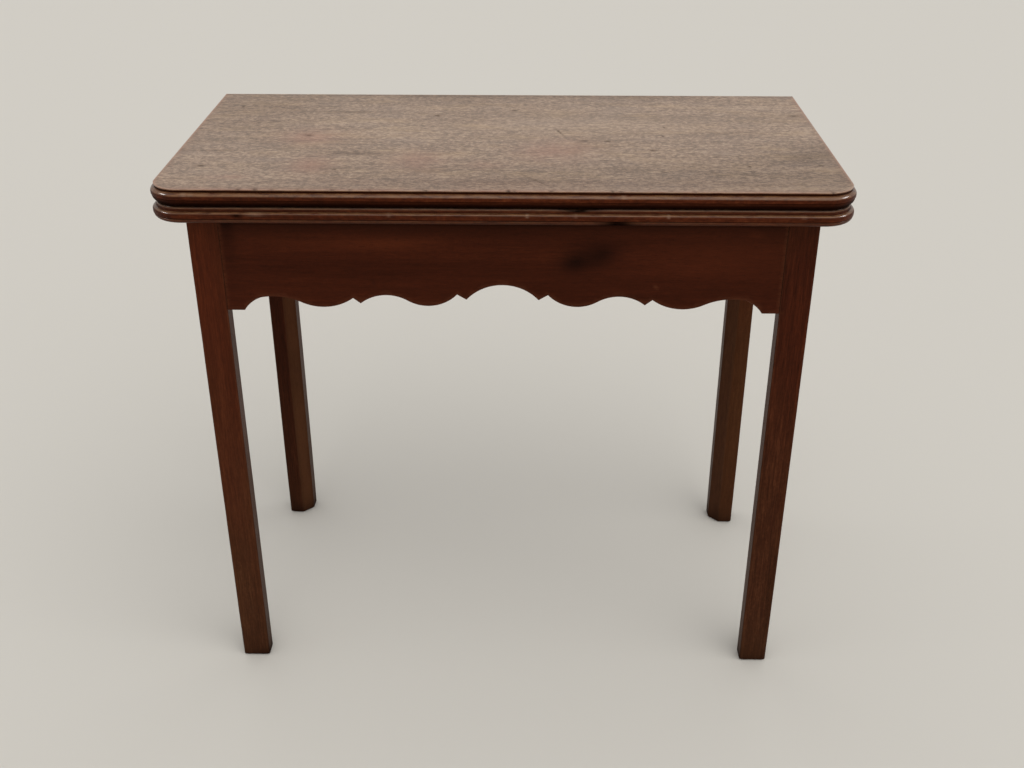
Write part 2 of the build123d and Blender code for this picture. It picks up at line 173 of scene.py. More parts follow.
# %% The surround
surround_light = colour(0.97, 0.98, 1.0)
surround_strength = 0.76
surround_seen = colour(0.66, 0.655, 0.64)

world = bpy.data.worlds.new("pale_room")
scene.world = world
world.use_nodes = True
room = world.node_tree
room.nodes.clear()
path = add(room, "ShaderNodeLightPath")
seen = calculate(room, "MAXIMUM", path.outputs["Is Camera Ray"], path.outputs["Is Glossy Ray"])
seen = calculate(room, "MAXIMUM", seen, path.outputs["Is Transmission Ray"])
lit = add(room, "ShaderNodeBackground", None, {"Color": surround_light, "Strength": surround_strength})
shown = add(room, "ShaderNodeBackground", None, {"Color": surround_seen, "Strength": 1.0})
either = add(room, "ShaderNodeMixShader", None, {0: seen, 1: lit.outputs[0], 2: shown.outputs[0]})
add(room, "ShaderNodeOutputWorld", None, {"Surface": either.outputs[0]})
print("surround", world.name, "of", len(room.nodes), "nodes")

# %% Sun and side lamps
sun_from = (1.1, -1.7, 2.3)
sun_width = math.radians(70)
sun_strength = 1.05
side_lamps = ((-2.3, -0.55, 2.15), (2.3, -0.30, 2.05))
side_lamp_size = (0.9, 0.5)
side_lamp_watts = 30.0
lamps_aim_at = (0, 0, 0.7)


def lamp_object(name, data, shines_from):
    """A lamp that shines from a direction."""
    lamp = bpy.data.objects.new(name, data)
    lamp.rotation_euler = shines_from.to_track_quat("Z", "Y").to_euler()
    scene.collection.objects.link(lamp)
    return lamp


sun_data = bpy.data.lights.new("soft_sun", "SUN")
sun_data.angle = sun_width
sun_data.energy = sun_strength
lamp_object("soft_sun", sun_data, Vector(sun_from))
for lamp_place in side_lamps:
    lamp_data = bpy.data.lights.new("side_lamp", "AREA")
    lamp_data.shape = "RECTANGLE"
    lamp_data.size, lamp_data.size_y = side_lamp_size
    lamp_data.energy = side_lamp_watts
    lamp = lamp_object("side_lamp", lamp_data, Vector(lamp_place) - Vector(lamps_aim_at))
    lamp.location = lamp_place
    lamp.visible_diffuse = False
print("lamps", [light.name for light in bpy.data.lights])

# %% Floor
floor_reach = 30.0
floor_tone = colour(0.645, 0.61, 0.545)
floor_roughness = 0.8
floor_shine = 0.2

floor_mesh = bpy.data.meshes.new("floor")
corners = [(x * floor_reach, y * floor_reach, 0) for x, y in ((-1, -1), (1, -1), (1, 1), (-1, 1))]
floor_mesh.from_pydata(corners, [], [(0, 1, 2, 3)])
floor = bpy.data.objects.new("floor", floor_mesh)
scene.collection.objects.link(floor)
floor_finish, _, shader = new_material("pale_floor")
shader.inputs["Base Color"].default_value = floor_tone
shader.inputs["Roughness"].default_value = floor_roughness
shader.inputs["Specular IOR Level"].default_value = floor_shine
floor_mesh.materials.append(floor_finish)
print("floor", 2 * floor_reach, "m wide")

# %% [markdown]
# ## Wood that has aged
#
# Every wooden surface here shows the same things: broad streaks of figure, fine streaks
# of grain and short dark pores, all drawn out along the board. A photograph of wood could
# be wrapped round each piece, but it would need unwrapping and would stop looking sharp
# up close. Noise that is squeezed along one axis gives the same streaks at any size, so
# one recipe serves all the boards, and only the axis and the tones differ.

# %% Noise along the grain
pattern_roughness = 0.6


def drawn_noise(tree, grain, along, across, detail, seed):
    """Noise drawn out along the grain axis, with so many waves a metre each way."""
    waves = [across, across, across]
    waves["XYZ".index(grain)] = along
    place = add(tree, "ShaderNodeTexCoord").outputs["Object"]
    stretched = add(tree, "ShaderNodeMapping", None, {"Vector": place, "Scale": waves})
    pattern = add(
        tree, "ShaderNodeTexNoise", {"noise_dimensions": "4D"},
        {"Vector": stretched.outputs[0], "W": seed, "Scale": 1.0, "Detail": detail,
         "Roughness": pattern_roughness},
    )
    return pattern.outputs["Fac"]


def board_patterns(tree, grain, weave, saw, seed):
    """A way to ask for one of a board's patterns by its name, each with a seed of its own."""
    # Waves a metre along the grain, waves a metre across it, and detail.
    waves = {
        "figure": (2.2, 26.0, 3.0), "streaks": (9.0, weave, 5.0), "fine streaks": (40.0, 4 * weave, 3.0),
        "pores": (90.0, 9 * weave, 1.0), "patches": (9.0, 9.0, 3.0), "flecks": (205.0, 310.0, 4.0),
        "planing": (45.0, 45.0, 2.0), "saw ridges": (saw, 6.0, 1.0), "wear": (60.0, 330.0, 4.0),
        "tints": (12.0, 38.0, 4.0), "light lines": (22.0, 260.0, 3.0), "dashes": (48.0, 2.4 * weave, 3.0),
    }
    order = list(waves)
    made = {}

    def pattern(name):
        if name not in made:
            made[name] = drawn_noise(tree, grain, *waves[name], seed + order.index(name))
        return made[name]

    return pattern


# %% [markdown]
# ## From patterns to the colour of a board
#
# The patterns are added up to one value, which is low where the wood is dark and high
# where it is light, and a ramp of three colours turns it into wood. Where light has
# faded the top to grey-brown, a second ramp takes over, with tints of honey and grey and
# pale lines laid over it. Which finish shows where belongs to places on the piece, so
# the meshes carry it as attributes, named faded, warm, rubbed_and_highlit and
# dirt_and_shade. The last two also hold painted highlights and painted shade.

# %% How light the wood is at each place
streak_middle = 0.17
fine_share = 0.2
fleck_contrast = 3.7
fleck_least = 0.4
# The sum that turns darkest and the one that turns lightest, each with what figure adds.
dark_end = (0.22, 0.2)
light_end = (0.56, 0.52)
# The height of its pattern from which each thing shows, and that where it shows fully.
shows_from = {
    "pores": (0.54, 0.68), "wear": (0.30, 0.58), "light lines": (0.60, 0.74), "patches": (0.15, 0.55),
}
honey_from = (0.52, 0.78)
grey_from = (0.48, 0.22)


def marked(tree, name):
    """How strongly the piece's own attribute says something, from 0 to 1."""
    return add(tree, "ShaderNodeAttribute", {"attribute_name": name}).outputs["Fac"]


def scaled(tree, value, factor, plus=0.0):
    """Value times a factor, plus something."""
    return calculate(tree, "MULTIPLY_ADD", value, factor, plus)


def times(tree, first, second):
    """The product of two values."""
    return calculate(tree, "MULTIPLY", first, second)


def from_middle(tree, value):
    """A pattern's height above its middle."""
    return calculate(tree, "SUBTRACT", value, 0.5)


def showing(tree, pattern, name):
    """Where a pattern stands high enough to show, from 0 to 1."""
    return spread(tree, pattern(name), *shows_from[name])


def lightness(tree, pattern, fading, figure, mottle, streaked, dashed):
    """All the patterns of a board as one value from dark to light."""
    total = scaled(tree, from_middle(tree, pattern("streaks")), streaked, streak_middle)
    total = scaled(tree, pattern("fine streaks"), fine_share, total)
    flecked = times(tree, from_middle(tree, pattern("flecks")), fleck_contrast * mottle)
    if fading:
        flecked = times(tree, flecked, scaled(tree, fading, 1 - fleck_least, fleck_least))
    total = calculate(tree, "ADD", flecked, total)
    total = scaled(tree, from_middle(tree, pattern("dashes")), dashed, total)
    total = scaled(tree, pattern("figure"), figure, total)
    darkest = dark_end[0] + dark_end[1] * figure
    lightest = light_end[0] + light_end[1] * figure
    return spread(tree, total, darkest, lightest)


# %% Faded wood
tint_strength = 0.55
line_strength = 0.45


def three_tones(tree, value, tones):
    """A ramp through a dark, a middle and a light colour."""
    return ramp(tree, value, list(zip((0.0, 0.5, 1.0), tones)))


def faded_wood(tree, pattern, value, warm, faded):
    """The grey-brown of a top, with its tints, pale lines and reddish patches."""
    old = three_tones(tree, value, faded["grain"])
    tints = pattern("tints")
    reddish = times(tree, warm, showing(tree, pattern, "patches"))
    for share, strength, tone in (
        (spread(tree, tints, *honey_from), tint_strength, faded["honey"]),
        (spread(tree, tints, *grey_from), tint_strength, faded["grey"]),
        (showing(tree, pattern, "light lines"), line_strength, faded["grain"][2]),
        (reddish, 1.0, faded["reddish"]),
    ):
        old = blend_colours(tree, times(tree, share, strength), old, tone)
    return old


# %% [markdown]
# ## Wear, dirt and polish
#
# Age adds what the maker did not: arrises rubbed pale by hands, dirt in the corners, and
# a coat of wax where hands pass. The same dark tone is also painted shade in gaps, under
# the top and on the inner sides of the legs, and the rubbed tone also paints highlights.
# Wear shows through in streaks rather than as a wash, so noise decides where the rubbed
# tone shows. Dirt and painted shade also take the shine off, and the bump gives open
# pores and the ridges that a saw or a plane leaves, which are too fine for the mesh.

# %% What lies over the wood
warm_strength = 0.8
pore_strength = 0.5
# How high each pattern stands in the bump. Pores are sunk.
relief = {"pores": -0.5, "streaks": 0.8, "planing": 0.9, "saw ridges": 2.5}
bump_depth = 0.00025
bump_strength = 0.35


def unworn_colour(tree, pattern, value, tones, faded, fading):
    """The wood's own colour, and the tone that shows where it is rubbed, which also paints highlights."""
    warm = marked(tree, "warm")
    wood = three_tones(tree, value, tones["grain"])
    wood = blend_colours(tree, times(tree, warm, warm_strength), wood, tones["grain"][2])
    if not faded:
        return wood, tones["rubbed_and_highlit"]
    wood = blend_colours(tree, fading, wood, faded_wood(tree, pattern, value, warm, faded))
    return wood, blend_colours(tree, fading, tones["rubbed_and_highlit"], faded["grain"][2])


def laid_over(tree, pattern, wood, rubbed_tone, rubbed_and_highlit, grime_and_shade, tones):
    """The colour with rubbed streaks and painted highlights, dark pores, and dirt and painted shade on it."""
    worn_through = times(tree, rubbed_and_highlit, showing(tree, pattern, "wear"))
    wood = blend_colours(tree, worn_through, wood, rubbed_tone)
    pores = times(tree, showing(tree, pattern, "pores"), pore_strength)
    wood = blend_colours(tree, pores, wood, tones["grain"][0])
    return blend_colours(tree, grime_and_shade, wood, tones["dirt_and_shade"])


def set_shine(tree, shader, clean, fading, tones, faded):
    """How strongly the wood mirrors, and in what tint. Dirt and painted shade take the shine off."""
    shine = tones["shine"]
    shader.inputs["Specular Tint"].default_value = tones["glow"]
    if faded:
        shine = scaled(tree, fading, faded["shine"] - shine, shine)
        glow = blend_colours(tree, fading, tones["glow"], faded["glow"])
        tree.links.new(glow, shader.inputs["Specular Tint"])
    tree.links.new(times(tree, clean, shine), shader.inputs["Specular IOR Level"])


def set_bump(tree, shader, pattern, saw):
    """Open pores, raised grain, plane marks and, on sawn faces, ridges of the saw."""
    height = times(tree, pattern("streaks"), relief["streaks"])
    height = scaled(tree, showing(tree, pattern, "pores"), relief["pores"], height)
    height = scaled(tree, pattern("planing"), relief["planing"], height)
    if saw:
        height = scaled(tree, pattern("saw ridges"), relief["saw ridges"], height)
    bump = add(
        tree, "ShaderNodeBump", None,
        {"Strength": bump_strength, "Distance": bump_depth, "Height": height},
    )
    tree.links.new(bump.outputs[0], shader.inputs["Normal"])


# %% The whole recipe
dirt_least, dirt_flecks = 0.7, 0.5
patchy_roughness = 0.22
dirty_roughness = 0.25
polish_roughness = 0.16


def old_wood(
    name, grain, tones, seed, dullness, faded=None, figure=0.5, mottle=0.12, streaked=0.34, dashed=0.2,
    weave=170.0, coat=0.0, saw=0.0,
):
    """An aged, waxed wood with the given tones, and with others where it has faded."""
    material, tree, shader = new_material(name)
    pattern = board_patterns(tree, grain, weave, saw, seed)
    fading = marked(tree, "faded") if faded else None
    rubbed_and_highlit = marked(tree, "rubbed_and_highlit")
    # One attribute holds both dirt and painted shade, and both darken the wood here.
    grime_and_shade = times(tree, marked(tree, "dirt_and_shade"), scaled(tree, pattern("flecks"), dirt_flecks, dirt_least))
    grime_and_shade = calculate(tree, "MINIMUM", grime_and_shade, 1.0)
    clean = calculate(tree, "SUBTRACT", 1.0, grime_and_shade)

    value = lightness(tree, pattern, fading, figure, mottle, streaked, dashed)
    wood, rubbed_tone = unworn_colour(tree, pattern, value, tones, faded, fading)
    wood = laid_over(tree, pattern, wood, rubbed_tone, rubbed_and_highlit, grime_and_shade, tones)
    tree.links.new(wood, shader.inputs["Base Color"])
    set_shine(tree, shader, clean, fading, tones, faded)
    rough = scaled(tree, pattern("patches"), patchy_roughness, dullness)
    tree.links.new(scaled(tree, grime_and_shade, dirty_roughness, rough), shader.inputs["Roughness"])
    if coat:
        polish = times(tree, times(tree, calculate(tree, "SUBTRACT", 1.0, fading), clean), rubbed_and_highlit)
        tree.links.new(times(tree, polish, coat), shader.inputs["Coat Weight"])
        shader.inputs["Coat Roughness"].default_value = polish_roughness
    set_bump(tree, shader, pattern, saw)
    return material


# %% [markdown]
# ## The finishes of the wooden pieces
#
# The wood has five finishes. The apron, legs and side rails are dark waxed mahogany, and
# the legs have dried to a browner tone low down. The mouldings are a shade redder, with
# pale worn edges, and the flat of the top has faded. The underside of the top was never
# polished. The rails and blocks behind are bare oak, as a maker would save the dear wood
# for what is seen. Each tone is linear colour, and shine is how strongly it mirrors.

# %% Tones and woods
wax_glow = colour(1.0, 0.55, 0.34)
dry_glow = colour(1.0, 0.85, 0.72)
pale_glow = colour(1.0, 0.97, 0.93)
# The dirt_and_shade tone is the dark that both dirt and painted shade blend towards.
frame_tones = {
    "grain": (colour(0.019, 0.0026, 0.0010), colour(0.042, 0.0072, 0.0026), colour(0.082, 0.0160, 0.0052)),
    "rubbed_and_highlit": colour(0.110, 0.036, 0.016), "dirt_and_shade": colour(0.008, 0.004, 0.003),
    "shine": 0.14, "glow": wax_glow,
}
dry_tones = {
    "grain": (colour(0.020, 0.0060, 0.0020), colour(0.041, 0.0122, 0.0044), colour(0.078, 0.0285, 0.0115)),
    "reddish": colour(0.076, 0.0275, 0.0102), "honey": colour(0.070, 0.026, 0.010),
    "grey": colour(0.022, 0.010, 0.0045), "shine": 0.11, "glow": wax_glow,
}
edge_tones = {
    "grain": (colour(0.025, 0.0035, 0.0009), colour(0.055, 0.0092, 0.0024), colour(0.097, 0.0215, 0.0066)),
    "rubbed_and_highlit": colour(0.176, 0.078, 0.029), "dirt_and_shade": colour(0.0034, 0.0012, 0.0006),
    "shine": 0.17, "glow": wax_glow,
}
faded_tones = {
    "grain": (colour(0.192, 0.125, 0.080), colour(0.332, 0.217, 0.145), colour(0.475, 0.330, 0.222)),
    "reddish": colour(0.355, 0.168, 0.108), "honey": colour(0.450, 0.292, 0.158),
    "grey": colour(0.240, 0.168, 0.128), "shine": 0.62, "glow": pale_glow,
}
bare_tones = {
    "grain": (colour(0.055, 0.026, 0.014), colour(0.105, 0.054, 0.030), colour(0.160, 0.090, 0.052)),
    "rubbed_and_highlit": colour(0.210, 0.130, 0.080), "dirt_and_shade": colour(0.018, 0.011, 0.008),
    "shine": 0.30, "glow": dry_glow,
}
oak_tones = {
    "grain": (colour(0.105, 0.062, 0.030), colour(0.190, 0.118, 0.062), colour(0.270, 0.182, 0.102)),
    "rubbed_and_highlit": colour(0.330, 0.235, 0.145), "dirt_and_shade": colour(0.030, 0.020, 0.013),
    "shine": 0.30, "glow": dry_glow,
}
board_wood = old_wood(
    "faded_mahogany", "X", edge_tones, seed=3.0, dullness=0.36, faded=faded_tones, mottle=0.55,
    streaked=0.5, dashed=0.7, coat=0.8,
)
apron_wood = old_wood(
    "apron_mahogany", "X", frame_tones, seed=11.0, dullness=0.26, figure=0.6, mottle=0.06,
)
leg_wood = old_wood(
    "leg_mahogany", "Z", frame_tones, seed=23.0, dullness=0.30, faded=dry_tones, figure=0.6,
    mottle=0.14, streaked=0.8, dashed=0.8, weave=330.0,
)
side_wood = old_wood("side_rail_mahogany", "Y", frame_tones, seed=31.0, dullness=0.30)
bare_wood = old_wood("unpolished_mahogany", "X", bare_tones, seed=41.0, dullness=0.62, saw=90.0)
rail_oak = old_wood("rail_oak", "X", oak_tones, seed=53.0, dullness=0.66, saw=150.0)
block_oak = old_wood("block_oak", "Y", oak_tones, seed=61.0, dullness=0.66, saw=150.0)
woods = (board_wood, apron_wood, leg_wood, side_wood, bare_wood, rail_oak, block_oak)
print("woods", [wood.name for wood in woods])

# %% [markdown]
# ## Brass and iron
#
# The hinge plates and pins are brass that has gone brown with age, and the screws and the
# gate's pin are iron with a little rust. Both are a clean metal under a cover that has
# come in patches and specks, so one recipe with two tones makes both. The cover is also
# duller than the clean metal, which a plain colour would not show.

# %% Brass and iron
tarnish_roughness = 0.28
pit_depth = 0.0001
pit_strength = 0.4
# Waves a metre and detail of each pattern, and between which heights it comes to cover.
patch_noise, patch_cover = (140.0, 5.0), (0.35, 0.68)
speck_noise, speck_cover = (900.0, 3.0), (0.55, 0.75)
pit_noise = (700.0, 4.0)


def even_noise(tree, waves, detail, seed):
    """Noise with the same number of waves a metre every way."""
    return drawn_noise(tree, "X", waves, waves, detail, seed)


def old_metal(name, clean, tarnished, clean_roughness, seed):
    """A metal whose clean tone shows where patches and specks of tarnish leave it bare."""
    material, tree, shader = new_material(name)
    patches = spread(tree, even_noise(tree, *patch_noise, seed), *patch_cover)
    specks = spread(tree, even_noise(tree, *speck_noise, seed + 1), *speck_cover)
    cover = calculate(tree, "MAXIMUM", patches, specks)
    tree.links.new(blend_colours(tree, cover, clean, tarnished), shader.inputs["Base Color"])
    tree.links.new(scaled(tree, cover, tarnish_roughness, clean_roughness), shader.inputs["Roughness"])
    shader.inputs["Metallic"].default_value = 1.0
    bump = add(
        tree, "ShaderNodeBump", None,
        {"Strength": pit_strength, "Distance": pit_depth, "Height": even_noise(tree, *pit_noise, seed + 2)},
    )
    tree.links.new(bump.outputs[0], shader.inputs["Normal"])
    return material


brass = old_metal(
    "tarnished_brass", colour(0.46, 0.31, 0.12), colour(0.13, 0.085, 0.038), clean_roughness=0.30, seed=71.0,
)
iron = old_metal(
    "forged_iron", colour(0.11, 0.10, 0.095), colour(0.060, 0.032, 0.018), clean_roughness=0.45, seed=81.0,
)
print("metals", brass.name, iron.name)

# %% [markdown]
# ## From a mesh to a finished piece
#
# A finished piece is a plain mesh at the origin that rides on one body and stands for the
# imported nodes it replaces. Corners sharper than a fixed angle stay crisp and the rest is
# shaded smooth. One function does this for all, and prints the piece that it made.

# %% Finishing a piece
crease = math.radians(32)


def link(mesh, name):
    """A new object with this mesh, at the origin."""
    piece = bpy.data.objects.new(name, mesh)
    scene.collection.objects.link(piece)
    return piece


def complete(mesh, node, body, materials):
    """Turns a mesh into the piece that stands for a node."""
    mesh.materials.clear()
    for material in materials:
        mesh.materials.append(material)
    mesh.shade_smooth()
    mesh.set_sharp_from_angle(angle=crease)
    piece = link(mesh, "worn_" + node)
    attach(piece, body)
    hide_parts(node)
    print(piece.name, len(mesh.polygons), "faces")


def to_mesh(shape, name):
    """A mesh from a bmesh, with its faces turned outwards."""
    bmesh.ops.recalc_face_normals(shape, faces=shape.faces)
    mesh = bpy.data.meshes.new(name)
    shape.to_mesh(mesh)
    shape.free()
    return mesh


# %% [markdown]
# ## Cutting with prisms
#
# Recesses for hinges, gouged pockets and a broken corner are all cut in the same way: a
# closed prism is drawn where the waste is, and a Boolean modifier takes it out. Leaving
# the waste out from the start would need another outline for each cut, while the exact
# solver keeps the wood around the cut as it was.

# %% Prisms and cuts
def prism(shape, outline, low, high):
    """Adds a closed upright prism over an outline of x and y places."""
    rings = [[shape.verts.new((x, y, z)) for x, y in outline] for z in (low, high)]
    shape.faces.new(rings[0])
    shape.faces.new(rings[1])
    count = len(outline)
    for here in range(count):
        there = (here + 1) % count
        shape.faces.new((rings[0][here], rings[0][there], rings[1][there], rings[1][here]))


def rectangle(x_low, x_high, y_low, y_high):
    """The outline of a rectangle."""
    return [(x_low, y_low), (x_high, y_low), (x_high, y_high), (x_low, y_high)]


def plain_mesh(piece):
    """What an object's modifiers make, as a mesh of its own. The object is removed."""
    bpy.context.view_layer.update()
    graph = bpy.context.evaluated_depsgraph_get()
    mesh = bpy.data.meshes.new_from_object(
        piece.evaluated_get(graph), preserve_all_data_layers=True, depsgraph=graph
    )
    bpy.data.objects.remove(piece)
    return mesh


def cut(mesh, cutter_shape, operation="DIFFERENCE"):
    """The mesh with the cutter's prisms taken out, or joined on."""
    piece = link(mesh, "blank")
    cutter = link(to_mesh(cutter_shape, "cutter"), "cutter")
    modifier = piece.modifiers.new("cut", "BOOLEAN")
    modifier.solver = "EXACT"
    modifier.operation = operation
    modifier.object = cutter
    result = plain_mesh(piece)
    bpy.data.objects.remove(cutter)
    return result


# %% [markdown]
# ## The moulding, by Geometry Nodes
#
# The edge of each leaf was cut with two moulding planes: a rounded bead under a small
# quirk, and a flatter round below it. The same section runs along three sides and round
# two corners, which is what Geometry Nodes do well: the path is a line of four points
# whose corners the tree rounds, and the section is a short line that the tree carries
# along it. Noise along the normals gives the soft unevenness of handling. The section's
# points also say where dirt gathers and where hands rub, where shade is painted into the
# groove, the quirk and the gap between the leaves, and where the bead is painted paler as
# highlight and sheen, and the tree passes that on. A curve with a profile would give the
# same shape, but not those marks.

# %% Sections of the moulding
# Each point is millimetres in from the edge and down from the top of the leaf. The rest
# says how much of the bead is rubbed and painted with highlight, how much sheen is painted
# on its top, and where dirt and painted shade lie.
upper_section = {
    "rim": (4.2, 0.0), "fillet": (4.4, 1.4), "face": (4.45, 1.7), "groove": ((6.1, 2.1), (6.1, 3.3)),
    "bead": (5.5, 3.9), "widest": (0.0, 9.7), "foot": (0.05, 12.2), "quirk": (1.0, 12.5),
    "round": (0.8, 13.1), "end": (6.0, 20.7), "rubbed_and_highlit": 0.80, "painted sheen": 0.0,
    # Dirt in the groove and quirk is partly painted shade, and the lower round is painted darker towards the
    # gap below it.
    "rim dirt and shade": 0.0, "groove dirt and shade": 0.6, "under dirt and shade": 0.4, "dirt and shade growth": 1.2,
}
lower_section = {
    "rim": (8.0, 0.0), "fillet": (5.5, 3.4), "face": (5.45, 6.1), "groove": ((5.6, 6.3), (5.6, 6.4)),
    "bead": (5.0, 6.6), "widest": (0.0, 11.0), "foot": (0.1, 14.4), "quirk": (1.3, 14.9),
    "round": (0.8, 15.5), "end": (4.8, 20.7), "rubbed_and_highlit": 0.68, "painted sheen": 0.06,
    # The lower leaf's rim lies under the upper leaf and is dark with dirt and painted shade.
    "rim dirt and shade": 1.0, "groove dirt and shade": 0.12, "under dirt and shade": 0.0, "dirt and shade growth": 0.2,
}
millimetre = 0.001
rim_round = 0.5
foot_lift = 0.4
bead_steps = 14
round_steps = 8
most_rubbed = 0.9
rub_slope = 8
most_dirt_and_shade = 0.9


def round_to(outer, inner, steps):
    """An arc from the outer point, where it is upright, to the inner one."""
    across, down = inner[0] - outer[0], inner[1] - outer[1]
    radius = (across ** 2 + down ** 2) / (2 * across)
    sweep = math.atan2(abs(down), radius - across)
    turns = [sweep * step / steps for step in range(steps + 1)]
    way = math.copysign(1, down)
    return [
        (outer[0] + radius - radius * math.cos(turn), outer[1] + way * radius * math.sin(turn))
        for turn in turns
    ]


def rim_rows(shape):
    """The rim, the fillet and the groove: each point with its dirt and painted shade, rubbing, fading and
    warmth.
    """
    rim, fillet, face = shape["rim"], shape["fillet"], shape["face"]
    rim_dirt_and_shade, groove_dirt_and_shade = shape["rim dirt and shade"], shape["groove dirt and shade"]
    open_air = 1 - rim_dirt_and_shade
    halfway = ((rim[0] + 2 * fillet[0]) / 3, 0.45 * fillet[1])
    below_fillet = (fillet[0], fillet[1] + 0.2 * (face[1] - fillet[1]))
    return [
        ((rim[0] + rim_round, 0.0), rim_dirt_and_shade, 0.5, open_air, 1.0),
        ((rim[0], 0.4 * rim_round), rim_dirt_and_shade, most_rubbed, 0.7 * open_air, 1.0),
        (halfway, 0.95 * rim_dirt_and_shade, most_rubbed, 0.2 * open_air, 0.8),
        (fillet, 0.1 * rim_dirt_and_shade, most_rubbed, 0.1 * open_air, 0.5),
        (below_fillet, 0.0, 0.05, 0.0, 0.0), (face, 0.0, 0.05, 0.0, 0.0),
        (shape["groove"][0], groove_dirt_and_shade, 0.0, 0.0, 0.0), (shape["groove"][1], groove_dirt_and_shade, 0.0, 0.0, 0.0),
    ]


def bead_rows(shape):
    """The bead, rubbed pale along its crown, which also paints a highlight where it faces up, and painted
    paler on top as sheen where the section gives it.
    """
    rows = []
    bead = round_to(shape["widest"], shape["bead"], bead_steps)[::-1]
    for place, point in enumerate(bead):
        share = place / bead_steps
        dirt_and_shade = shape["groove dirt and shade"] if place == 0 else 0.1 * (1 - share)
        # Rubbing here is partly wear and partly a painted highlight on the part of the bead that faces up.
        rubbing = max(0.0, min(most_rubbed, rub_slope * share, rub_slope * (shape["rubbed_and_highlit"] - share)))
        # The top of the bead is painted paler as sheen.
        sheen_paint = shape["painted sheen"] * max(0.0, 1 - 2 * share)
        rows.append((point, dirt_and_shade, rubbing, sheen_paint, 0.0))
    return rows


def lower_rows(shape):
    """The foot of the bead, the quirk dark with dirt and painted shade, and the flatter round below it,
    painted darker towards its bottom as shade.
    """
    foot = shape["foot"]
    rows = [
        ((foot[0], foot[1] - foot_lift), 0.0, 0.0, 0.0, 0.0), (foot, 0.6, 0.0, 0.0, 0.0),
        (shape["quirk"], 1.0, 0.0, 0.0, 0.0),
    ]
    for place, point in enumerate(round_to(shape["round"], shape["end"], round_steps)):
        share = place / round_steps
        dirt_and_shade = min(most_dirt_and_shade, shape["under dirt and shade"] + shape["dirt and shade growth"] * share)
        rows.append((point, dirt_and_shade, 0.25 * (1 - share) * shape["rim dirt and shade"], 0.0, 0.0))
    return rows


def line_object(name, points, attributes=()):
    """A mesh of points joined by edges, with one value of each attribute a point."""
    mesh = bpy.data.meshes.new(name)
    mesh.from_pydata(points, [(n, n + 1) for n in range(len(points) - 1)], [])
    for title, values in attributes:
        mesh.attributes.new(title, "FLOAT", "POINT").data.foreach_set("value", values)
    return link(mesh, name)


def section_object(name, shape):
    """The line of a section, with its attributes, for the tree to carry along."""
    points, *values = zip(*rim_rows(shape), *bead_rows(shape), *lower_rows(shape))
    places = [(-inset * millimetre, drop * millimetre, 0) for inset, drop in points]
    return line_object(name, places, list(zip(("dirt_and_shade", "rubbed_and_highlit", "faded", "warm"), values)))


upper_line = section_object("upper_section", upper_section)
lower_line = section_object("lower_section", lower_section)
print("sections of", len(upper_line.data.vertices), "points")


# %% A tree's beginning, end and use
def start_tree(name, sockets):
    """A geometry tree with its way in and out and its named inputs."""
    tree = bpy.data.node_groups.new(name, "GeometryNodeTree")
    tree.interface.new_socket("Geometry", in_out="INPUT", socket_type="NodeSocketGeometry")
    for title, kind in sockets:
        tree.interface.new_socket(title, in_out="INPUT", socket_type="NodeSocket" + kind)
    tree.interface.new_socket("Geometry", in_out="OUTPUT", socket_type="NodeSocketGeometry")
    return tree, tree.nodes.new("NodeGroupInput").outputs


def end_tree(tree, geometry, finish):
    """Realizes instances, sets the finish and leaves the tree."""
    real = add(tree, "GeometryNodeRealizeInstances", None, {"Geometry": geometry})
    done = add(tree, "GeometryNodeSetMaterial", None, {"Geometry": real.outputs[0], "Material": finish})
    add(tree, "NodeGroupOutput", None, {"Geometry": done.outputs[0]})
    print(tree.name, "takes", [item.name for item in tree.interface.items_tree if item.in_out == "INPUT"])


def grow(base, tree, values):
    """Runs a tree on a base object and returns what it makes as a plain mesh."""
    modifier = base.modifiers.new("growth", "NODES")
    modifier.node_group = tree
    for item in tree.interface.items_tree:
        if item.in_out == "INPUT" and item.name in values:
            modifier[item.identifier] = values[item.name]
    return plain_mesh(base)


# %% The tree that carries a section along a path
corner_steps = 40
wear_detail = 4.0

moulding_tree, given = start_tree("moulding_along_path", [
    ("Section", "Object"), ("Corner radius", "Float"), ("Step", "Float"),
    ("Wear depth", "Float"), ("Wear waves", "Float"), ("Seed", "Float"), ("Finish", "Material"),
])
walk = add(moulding_tree, "GeometryNodeMeshToCurve", None, {"Mesh": given["Geometry"]})
rounded = add(
    moulding_tree, "GeometryNodeFilletCurve", {"mode": "POLY"},
    {"Curve": walk.outputs[0], "Count": corner_steps, "Radius": given["Corner radius"]},
)
stepped = add(
    moulding_tree, "GeometryNodeResampleCurve", {"mode": "LENGTH"},
    {"Curve": rounded.outputs[0], "Length": given["Step"]},
)
upright = add(moulding_tree, "GeometryNodeSetCurveNormal", {"mode": "Z_UP"}, {"Curve": stepped.outputs[0]})
cutter_shape = add(moulding_tree, "GeometryNodeObjectInfo", None, {"Object": given["Section"]})
cutter_line = add(moulding_tree, "GeometryNodeMeshToCurve", None, {"Mesh": cutter_shape.outputs["Geometry"]})
swept = add(
    moulding_tree, "GeometryNodeCurveToMesh", None,
    {"Curve": upright.outputs[0], "Profile Curve": cutter_line.outputs[0]},
)
wear = add(
    moulding_tree, "ShaderNodeTexNoise", {"noise_dimensions": "4D"},
    {"Vector": add(moulding_tree, "GeometryNodeInputPosition").outputs[0],
     "W": given["Seed"], "Scale": given["Wear waves"], "Detail": wear_detail},
)
inward = calculate(moulding_tree, "MULTIPLY", wear.outputs["Fac"], given["Wear depth"])
inward = calculate(moulding_tree, "MULTIPLY", inward, -1.0)
